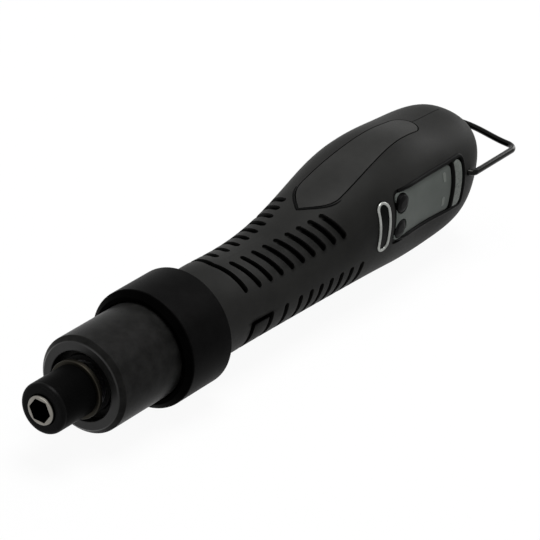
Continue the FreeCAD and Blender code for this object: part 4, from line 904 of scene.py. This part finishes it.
@dataclass
class Housing(SubAssembly):
    """The two shells, the start lever in the top and the screws that hold them."""

    screw_places: tuple[Spot, ...] = (
        (114.0, -9.5), (116.5, 9.0), (150.0, -9.0), (186.0, -5.5), (193.5, 17.6))
    screw_seat: float = 6.0
    screw_head: float = 1.7
    head_radius: float = 2.1
    shank_radius: float = 1.1
    shank_length: float = 13.0
    tip_length: float = 1.0
    tip_radius: float = 0.4
    cross_width: float = 0.55
    cross_length: float = 2.5
    cross_depth: float = 1.0
    screw_seed: int = 7
    groove_width: float = 2.1
    groove_depth: float = 1.2
    groove_count: int = 9
    groove_pitch: float = 5.4
    pitch_loss: float = 0.16
    floor_share: float = 1.12
    grip_radius: float = 14.3
    radius_gain: float = 0.42
    border_back: float = 78.5
    border_from: float = -4.2
    border_to: float = 50.0
    border_lean: float = 13.5
    side_back: float = 84.5
    side_from: float = 7.0
    side_drop: float = 1.6
    side_to: float = 52.5
    side_lean: float = 20.0
    side_steps: int = 12
    belly_backs: tuple[float, ...] = (
        80.8, 89.5, 96.6, 103.3, 108.6, 113.5, 118.4, 123.3, 128.2, 133.1)
    belly_from: float = 92.5
    belly_sweep: float = 86.0
    belly_steps: int = 14
    arch_height: float = -0.25
    arch_steps: int = 8
    ray_start: float = 60.0
    fade: float = 1.5
    spring_travel: float = 1.5
    lever_apex: float = 119.6
    lever_shoulder: float = 131.0
    lever_width: float = 6.8
    lever_ease: float = 0.35
    # A black bead paints the shadow in the gap round the front of the lever's opening.
    gap_shadow_offset: float = 0.85
    gap_shadow_radius: float = 0.47
    gap_shadow_depth: float = 0.22
    gap_shadow_fall: float = 0.25
    gap_shadow_steps: int = 20
    gap_shadow_right_steps: int = 16
    gap_shadow_left_steps: int = 21
    seam_side: float = 0.02
    parting_front: float = 178.7
    parting_rear: float = 194.0
    parting_radius: float = 0.14
    parting_depth: float = 0.06
    parting_steps: int = 30

    def build(self) -> None:
        """Makes the shells, the lever and the screws."""
        for name, side in (("left", 1), ("right", -1)):
            shell = self.merged_copy(name + "_shell")
            # The groove attribute marks where shade is painted into the grooves.
            shell = self.paint_groove_shade(shell, self.groove_lines(shell, side))
            self.place(name + "_housing", shell, HOUSING_BLACK, name + "_shell")
        # Painted shadow: a black bead in the gap at the front of the lever.
        self.place("lever_lip", self.lever_lip(), SEAM_BLACK)
        self.place("parting_line", self.parting_line(), SEAM_BLACK)
        lever = self.merged_copy("start_lever")
        self.place("lever", lever, LEVER_BLACK_PAINTED_LIGHTER, "start_lever", body=Body.LEVER)
        self.place("screws", self.screws(), SPRING_STEEL, "shell_screws")
        self.dress(GEAR_STEEL, "lever_pin")
        self.spring("lever_coil", "lever_spring", "lever_press", UPWARD, self.spring_travel)
        self.dress(SWITCH_GREY, "start_switch")
        self.dress(BORDER_BLACK, "switch_plunger")

    def lever_lip(self) -> Mesh:
        """Returns the black bead of painted shadow in the gap round the front of the lever's
        opening.
        """
        apex, width = self.lever_apex - self.gap_shadow_offset, self.lever_width + self.gap_shadow_offset
        swing = self.lever_ease * (self.lever_shoulder - apex)
        poles = [Vector(pole) for pole in (
            (apex, 0.0), (apex + swing, (1 - self.lever_ease) * width),
            (self.lever_shoulder - swing, width), (self.lever_shoulder, width))]
        points = []
        for node, side, steps in (("right_shell", -1, range(self.gap_shadow_right_steps, 0, -1)),
                                  ("left_shell", 1, range(self.gap_shadow_left_steps + 1))):
            tree = search_tree(frame["nodes"][node].data)
            for step in steps:
                s = step / self.gap_shadow_steps
                back, left = (poles[0] * (1 - s) ** 3 + poles[1] * 3 * s * (1 - s) ** 2
                              + poles[2] * 3 * s * s * (1 - s) + poles[3] * s ** 3)
                place = (-back, side * max(left, self.seam_side), 0.0)
                for met, normal in self.faces_met(tree, [place], DOWNWARD):
                    points.append(met / MM - normal * (self.gap_shadow_depth + self.gap_shadow_fall * s * s))
        return self.bead(points, self.gap_shadow_radius, SEAM_BLACK)

    def parting_line(self) -> Mesh:
        """Returns the fine dark line where the shells meet behind the lever."""
        places = line((-self.parting_front, self.seam_side, 0.0),
                      (-self.parting_rear, self.seam_side, 0.0), self.parting_steps)
        met = self.faces_met(search_tree(frame["nodes"]["left_shell"].data), places, DOWNWARD)
        points = [place / MM - normal * self.parting_depth for place, normal in met]
        return self.bead(points, self.parting_radius, SEAM_BLACK)

    def groove_lines(self, shell: Mesh, side: int) -> Mesh:
        """Finds the middle lines of the groove floors in one shell.

        Args:
            shell: The shell's mesh.
            side: 1 for the left shell, -1 for the right one.

        Returns:
            A mesh of edges along the floors.
        """
        tree = search_tree(shell)
        points, edges = [], []
        for rays in self.side_rays(side) + self.belly_rays(side):
            hits = [tree.ray_cast(start, heading)[0] for start, heading in rays]
            found = [hit for hit in hits if hit is not None]
            edges += [(len(points) + i, len(points) + i + 1) for i in range(len(found) - 1)]
            points += found
        lines = bpy.data.meshes.new("groove_lines")
        lines.from_pydata(points, edges, [])
        return lines

    def side_rays(self, side: int) -> Rays:
        """Points rays down onto the floor of each leaning groove on one side.

        Args:
            side: 1 for the left shell, -1 for the right one.

        Returns:
            The rays, groove by groove.
        """
        grooves = [(self.border_back, self.border_from, self.border_to, self.border_lean,
                    self.grip_radius)]
        for i in range(self.groove_count):
            back = self.side_back + i * self.groove_pitch - i * (i - 1) / 2 * self.pitch_loss
            grooves.append((back, self.side_from + i * self.side_drop, self.side_to, self.side_lean,
                            self.grip_radius + i * self.radius_gain))
        rays = []
        for back, start, stop, lean, radius in grooves:
            half = radius * math.sin(math.radians(stop - start) / 2) / math.cos(math.radians(lean))
            straight = half - self.groove_width / 2
            turn = Matrix.Rotation(-side * math.radians((start + stop) / 2), 3, "X")
            swing = side * math.radians(lean)
            heading = turn @ DOWNWARD
            ray_line = []
            for (reach,) in line((self.fade - straight,), (straight,), self.side_steps):
                along = side * reach
                place = Vector((-back - along * math.sin(swing), along * math.cos(swing),
                                self.ray_start))
                ray_line.append((turn @ place * MM, heading))
            rays.append(ray_line)
        return rays

    def belly_rays(self, side: int) -> Rays:
        """Points rays in onto the floor of each belly groove on one side.

        Args:
            side: 1 for the left shell, -1 for the right one.

        Returns:
            The rays, groove by groove.
        """
        rays = []
        for back in self.belly_backs:
            around = arc((0.0, 0.0), 1.0, self.belly_from, self.belly_sweep, self.belly_steps)
            aways = [Vector((0.0, side * left, up)) for up, left in around]
            middle = Vector((-back, 0.0, 0.0)) * MM
            rays.append([(middle + away * self.ray_start * MM, -away) for away in aways])
        first, second = ((-back, side * self.ray_start, self.arch_height)
                         for back in self.belly_backs[:2])
        rays.append([(Vector(place) * MM, side * RIGHTWARD)
                     for place in line(first, second, self.arch_steps)])
        return rays

    def paint_groove_shade(self, shell: Mesh, lines: Mesh) -> Mesh:
        """Stores the groove attribute, the mask of the shade painted into the grooves, in a shell.

        Args:
            shell: The shell's mesh.
            lines: The middle lines of its grooves.

        Returns:
            The shell's mesh with the attribute.
        """
        marker = linked("groove_marker", lines)
        mesh = PaintedGrooveShade().run(shell, HOUSING_BLACK, {
            "Lines": marker, "Floor Reach": self.floor_share * self.groove_width / 2 * MM,
            "Rim Reach": math.hypot(self.groove_width / 2, self.groove_depth) * MM})
        bpy.data.objects.remove(marker)
        return mesh

    def screws(self) -> Mesh:
        """Returns the five cross-head screws as one mesh."""
        blank = linked("screw_blank", self.turned([
            (-self.screw_head, 0.0, 0.0), (-self.screw_head, self.head_radius, 0.4),
            (0.0, self.head_radius, 0.1), (0.0, self.shank_radius, 0.05),
            (self.shank_length - self.tip_length, self.shank_radius, 0.3),
            (self.shank_length, self.tip_radius, 0.1), (self.shank_length, 0.0, 0.0)],
            SPRING_STEEL, steps=32, closed=False))
        points = bpy.data.meshes.new("screw_points")
        points.from_pydata([(-back * MM, -self.screw_seat * MM, height * MM)
                            for back, height in self.screw_places], [], [])
        mesh = SetScrews().run(points, SPRING_STEEL, {
            "Blank": blank, "Cross Width": self.cross_width * MM,
            "Cross Length": self.cross_length * MM, "Cross Depth": self.cross_depth * MM,
            "Head": self.screw_head * MM, "Seed": self.screw_seed})
        bpy.data.objects.remove(blank)
        return self.tidied(mesh)


@dataclass
class Panel(SubAssembly):
    """The control panel on the left side."""

    level: float = 9.6
    key_back: float = 150.6
    key_spread: float = 8.4
    key_radius: float = 2.9
    key_face: float = 17.7
    key_dome: float = 0.45
    dome_shoulder: Spot = (0.12, 0.55)
    flange_plane: float = 12.3
    flange_radius: float = 3.5
    flange: float = 0.8
    window_back: float = 141.6
    window_level: float = 9.0
    window_width: float = 5.4
    window_height: float = 16.0
    rim_radius: float = 0.49
    border_front: float = 146.4
    border_length: float = 38.2
    border_height: float = 17.6
    border_corner: float = 2.6
    border_radius: float = 0.76
    border_overhang: float = 0.05
    border_gap: float = 3.4
    border_rise: float = 0.3
    border_sunk: float = 0.5
    border_taper: int = 4
    border_steps: int = 24
    corner_steps: int = 8
    end_steps: int = 16
    bar_back: float = 178.2
    bar_half: float = 7.0
    bar_radius: float = 0.78
    bar_steps: int = 20
    pip_back: float = 173.8
    pip_levels: tuple[float, ...] = (14.0, 5.9)
    pip_width: float = 1.4
    pip_height: float = 3.2
    pip_rise: float = 0.12

    def build(self) -> None:
        """Makes the border, plate, keys and windows, and dresses the board behind them."""
        meshes = {}
        for name, node, finish in (("border", "panel_bezel", BORDER_BLACK),
                                   ("plate", "legend_plate", PLATE_GREY),
                                   ("front_window", "front_lamp_lens", CLEAR_LENS),
                                   ("rear_window", "rear_lamp_lens", GREY_LENS)):
            meshes[name] = self.merged_copy(node)
            self.place(name, meshes[name], finish, node)
        for name, body, side in (("upper", Body.UPPER_KEY, 1), ("lower", Body.LOWER_KEY, -1)):
            key = self.key(self.level + side * self.key_spread / 2)
            self.place(name + "_key_cap", key, BUTTON_BLACK, name + "_button", body=body)
        self.place("window_rim", self.window_rim(meshes["front_window"]), RIM_SILVER)
        self.place("border_bead", self.border_bead(meshes["border"]), BORDER_BLACK)
        self.place("bar_bead", self.bar_bead(meshes["border"]), BORDER_BLACK)
        self.place("plate_pips", self.pips(meshes["plate"]), PIP_PALE)
        self.dress(BOARD_GREEN, "control_board")
        self.dress(SWITCH_GREY, "button_switches")
        self.dress(GREY_LENS, "panel_lamps")

    def key(self, height: float) -> Mesh:
        """Makes a flanged key with a domed face, standing out to the left.

        Args:
            height: The height of its middle, in millimetres.

        Returns:
            The key's mesh.
        """
        rise, reach = self.dome_shoulder
        mesh = self.turned([
            (-self.flange_plane, 0.0, 0.0), (-self.flange_plane, self.flange_radius, 0.1),
            (-self.flange_plane - self.flange, self.flange_radius, 0.1),
            (-self.flange_plane - self.flange, self.key_radius, 0.05),
            (self.key_dome - self.key_face, self.key_radius, 0.35),
            (rise * self.key_dome - self.key_face, reach * self.key_radius, 1.5),
            (-self.key_face, 0.0, 0.0)], BUTTON_BLACK, steps=64, closed=False)
        mesh.transform(Matrix.Translation((-self.key_back * MM, 0.0, height * MM))
                       @ Matrix.Rotation(math.radians(90.0), 4, "Z"))
        return mesh

    def window_rim(self, window: Mesh) -> Mesh:
        """Lays the bright rim round the edge of the front window's face.

        Args:
            window: The window's mesh.

        Returns:
            The rim's mesh.
        """
        radius = self.window_width / 2 - self.rim_radius
        straight = self.window_height / 2 - self.window_width / 2
        outline = []
        for end, first in ((straight, 0.0), (-straight, 180.0)):
            middle = (self.window_back, self.window_level + end)
            outline += arc(middle, radius, first, 180.0, self.end_steps)
            side = self.window_back + math.copysign(radius, -end)
            outline += line((side, self.window_level + end), (side, self.window_level - end),
                            self.end_steps)[1:-1]
        points = [place / MM for place, _ in self.seen_from_left(window, outline)]
        return self.bead(points, self.rim_radius, RIM_SILVER, closed=True)

    def border_bead(self, border: Mesh) -> Mesh:
        """Lays the black bead on the border, open at the front.

        Args:
            border: The border's mesh.

        Returns:
            The bead's mesh.
        """
        inset = self.border_radius - self.border_overhang
        front = self.border_front + self.border_gap
        rear = self.border_front + self.border_length - inset
        low, high = (self.level + side * (self.border_height / 2 - inset) for side in (-1, 1))
        ease = self.border_corner - inset
        bend = rear - ease
        outline = line((front, low), (bend, low), self.border_steps)[:-1]
        outline += arc((bend, low + ease), ease, -90.0, 90.0, self.corner_steps)
        outline += line((rear, low + ease), (rear, high - ease), self.end_steps)[1:-1]
        outline += arc((bend, high - ease), ease, 0.0, 90.0, self.corner_steps)
        outline += line((bend, high), (front, high), self.border_steps)[1:]
        met = self.seen_from_left(border, outline)
        points = []
        for index, (place, normal) in enumerate(met):
            from_end = min(index, len(met) - 1 - index)
            shown = min(1.0, from_end / self.border_taper)
            depth = self.border_sunk - shown * (self.border_rise + self.border_sunk)
            points.append(place / MM - normal * depth)
        return self.bead(points, self.border_radius, BORDER_BLACK)

    def bar_bead(self, border: Mesh) -> Mesh:
        """Lays the black bead on the bar between the plate and the rear window.

        Args:
            border: The border's mesh.

        Returns:
            The bead's mesh.
        """
        bar = line((self.bar_back, self.level - self.bar_half),
                   (self.bar_back, self.level + self.bar_half), self.bar_steps)
        met = self.seen_from_left(border, bar)
        points = [place / MM + normal * self.border_rise for place, normal in met]
        return self.bead(points, self.bar_radius, BORDER_BLACK)

    def seen_from_left(self, mesh: Mesh, places: Sequence[Spot]) -> Met:
        """Returns what looks from the tool's left meet, given their distances back and heights."""
        return self.faces_met(search_tree(mesh), [(-back, 0.0, height) for back, height in places],
                              RIGHTWARD)

    def pips(self, plate: Mesh) -> Mesh:
        """Sets the two pale pips on the plate.

        Args:
            plate: The plate's mesh.

        Returns:
            The pips' mesh.
        """
        met = self.seen_from_left(plate, [(self.pip_back, height) for height in self.pip_levels])
        points = bpy.data.meshes.new("pip_points")
        points.from_pydata([place for place, _ in met], [], [])
        facing = points.attributes.new("facing", "FLOAT_VECTOR", "POINT")
        facing.data.foreach_set("vector", [part for _, normal in met for part in normal])
        return self.tidied(SetPips().run(points, PIP_PALE, {
            "Width": self.pip_width * MM, "Height": self.pip_height * MM,
            "Rise": self.pip_rise * MM, "Bend Steps": self.corner_steps}))


@dataclass
class RearEnd(SubAssembly):
    """The hanging bail and the cord inlet."""

    bail_back: float = 187.2
    bail_height: float = 11.0
    bail_half: float = 18.8
    bail_inner: float = 13.0
    bail_reach: float = 25.3
    bail_bow: float = 2.0
    bow_steps: int = 10
    bail_bend: float = 3.2
    hook_bend: float = 2.0
    bend_steps: int = 14
    wire_radius: float = 1.0
    wire_sides: int = 28
    nut_front: float = 200.62
    nut_rear: float = 202.62
    nut_radius: float = 8.6
    nut_bore: float = 6.92
    inlet_height: float = 6.0

    def build(self) -> None:
        """Makes the bail and the nut, and dresses the inlet."""
        self.place("hanging_bail", self.bail(), BRIGHT_WIRE, "bail", body=Body.HANGER)
        nut = self.turned([
            (self.nut_front, self.nut_bore, 0.1), (self.nut_rear, self.nut_bore, 0.3),
            (self.nut_rear, self.nut_radius, 0.5), (self.nut_front, self.nut_radius, 0.2)],
            NUT_DARK, rise=self.inlet_height)
        self.place("ring_nut", nut, NUT_DARK, "inlet_nut")
        self.dress(BORDER_BLACK, "cord_inlet")
        self.dress(GOLD_PIN, "inlet_pins")

    def bail(self) -> Mesh:
        """Returns the bent wire of the bail, whose cross-piece bows smoothly to its middle."""
        far = self.bail_back + self.bail_reach
        span = self.bail_half - self.bail_bend
        half_path = [(self.bail_back, self.bail_inner, 0.0),
                     (self.bail_back, self.bail_half, self.hook_bend),
                     (far, self.bail_half, self.bail_bend)]
        for step in range(self.bow_steps + 1):
            share = step / self.bow_steps
            bow = share * share * (3.0 - 2.0 * share)
            half_path.append((far + self.bail_bow * bow, span * (1 - share), 0.0))
        whole = half_path + [(back, -left, bend) for back, left, bend in reversed(half_path[:-1])]
        path = path_mesh([(-back, left, self.bail_height) for back, left, _ in whole], closed=False)
        bends = path.attributes.new("bend", "FLOAT", "POINT")
        bends.data.foreach_set("value", [bend * MM for _, _, bend in whole])
        return self.tidied(BentWire().run(path, BRIGHT_WIRE, {
            "Wire Radius": self.wire_radius * MM, "Sides": self.wire_sides,
            "Bend Steps": self.bend_steps}))


class Works(SubAssembly):
    """The motor, which stays as the CAD made it."""

    def build(self) -> None:
        """Dresses the motor's nodes."""
        self.dress(MOTOR_ZINC, "motor_can")
        self.dress(SWITCH_GREY, "motor_end_cap")
        self.dress(CORE_STEEL, "stator_core")
        self.dress(COPPER, "stator_coils")
        self.dress(GEAR_STEEL, "rotor_shaft", "motor_front_bearing", "motor_rear_bearing")
        self.dress(MAGNET_DARK, "rotor_magnet")


@dataclass
class Studio:
    """The camera at the photograph's angle, the pale floor, the soft lights and the white world."""

    azimuth: float = 122.9793
    elevation: float = 29.3427
    roll: float = 6.2223
    distance: float = 1035.8185
    target: tuple[float, float, float] = (-100.0, 0.0, 3.0)
    sensor: float = 36.0
    lens: float = 235.28
    shift_x: float = 0.02763
    shift_y: float = 0.00664
    floor_height: float = -18.2
    floor_reach: float = 4.0
    floor_colour: tuple[float, ...] = (0.75, 0.75, 0.75, 1.0)
    ambient: float = 0.22
    shadow_share: float = 0.06
    softbox_size: float = 0.5
    softboxes: tuple[tuple[str, tuple[float, ...], float], ...] = (
        ("key_softbox", (-0.2, 0.0, 0.95), 10.5), ("front_softbox", (0.95, -0.3, 0.25), 2.0),
        ("rear_softbox", (-1.0, 0.1, 0.35), 4.0))

    def build(self) -> None:
        """Sets up everything round the object."""
        bpy.context.scene.view_settings.view_transform = "Standard"
        self.camera()
        self.floor()
        self.world()
        for name, place, power in self.softboxes:
            self.softbox(name, Vector(place), power)

    def camera(self) -> None:
        """Places the camera."""
        data = bpy.data.cameras.new("camera")
        data.sensor_width = self.sensor
        data.lens = self.lens
        data.shift_x = self.shift_x
        data.shift_y = self.shift_y
        camera = linked("camera", data)
        place = Matrix.Translation(Vector(self.target) * MM)
        for angle, axis in ((self.azimuth, "Z"), (90.0 - self.elevation, "X"), (self.roll, "Z")):
            place @= Matrix.Rotation(math.radians(angle), 4, axis)
        camera.matrix_world = place @ Matrix.Translation(UPWARD * self.distance * MM)
        bpy.context.scene.camera = camera

    @staticmethod
    def seen(board: NodeBoard) -> Node:
        """Tells the rays that see from the rays that light.

        Args:
            board: The board of the tree that asks.

        Returns:
            A node that is 1 for camera, glossy and transmission rays.
        """
        path = board.add("ShaderNodeLightPath").outputs
        first = board.reckon("MAXIMUM", path["Is Camera Ray"], path["Is Glossy Ray"])
        return board.reckon("MAXIMUM", first, path["Is Transmission Ray"])

    def floor(self) -> None:
        """Lays a pale floor that is white to the camera and still keeps a faint shadow."""
        mesh = bpy.data.meshes.new("floor")
        mesh.from_pydata([(x * self.floor_reach, y * self.floor_reach, self.floor_height * MM)
                          for x, y in ((-1, -1), (1, -1), (1, 1), (-1, 1))], [], [(0, 1, 2, 3)])
        material = bpy.data.materials.new("pale_floor")
        board = NodeBoard.cleared(material)
        matt = board.add("ShaderNodeBsdfDiffuse", {"Color": self.floor_colour})
        glow = board.add("ShaderNodeEmission", {"Strength": 1.0})
        share = board.reckon("MULTIPLY", self.seen(board), 1.0 - self.shadow_share)
        mixed = board.add("ShaderNodeMixShader", {0: share, 1: matt, 2: glow})
        board.add("ShaderNodeOutputMaterial", {"Surface": mixed})
        mesh.materials.append(material)
        floor = linked("floor", mesh)

    def world(self) -> None:
        """Makes the world white where it is seen, and dim for the light that it gives."""
        world = bpy.data.worlds.new("studio")
        board = NodeBoard.cleared(world)
        dim, white = (
            board.add("ShaderNodeBackground", {"Strength": strength, "Color": (1.0, 1.0, 1.0, 1.0)})
            for strength in (self.ambient, 1.0))
        mixed = board.add("ShaderNodeMixShader", {0: self.seen(board), 1: dim, 2: white})
        board.add("ShaderNodeOutputWorld", {"Surface": mixed})
        bpy.context.scene.world = world

    def softbox(self, name: str, place: Vector, power: float) -> None:
        """Hangs a square soft light that faces the object.

        Args:
            name: The light's name.
            place: Where it hangs, in metres.
            power: Its power in watts.
        """
        data = bpy.data.lights.new(name, "AREA")
        data.size = self.softbox_size
        data.energy = power
        light = linked(name, data)
        facing = (Vector(self.target) * MM - place).to_track_quat("-Z", "Y")
        light.matrix_world = Matrix.Translation(place) @ facing.to_matrix().to_4x4()


def main() -> None:
    """Builds the sub-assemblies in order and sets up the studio."""
    logging.basicConfig(level=logging.INFO, format="%(name)s: %(message)s")
    for assembly in (Chuck(), ClutchHead(), Housing(), Panel(), RearEnd(), Works()):
        LOG.info("building %s", type(assembly).__name__)
        assembly.build()
    Studio().build()


if __name__ == "__main__":
    main()
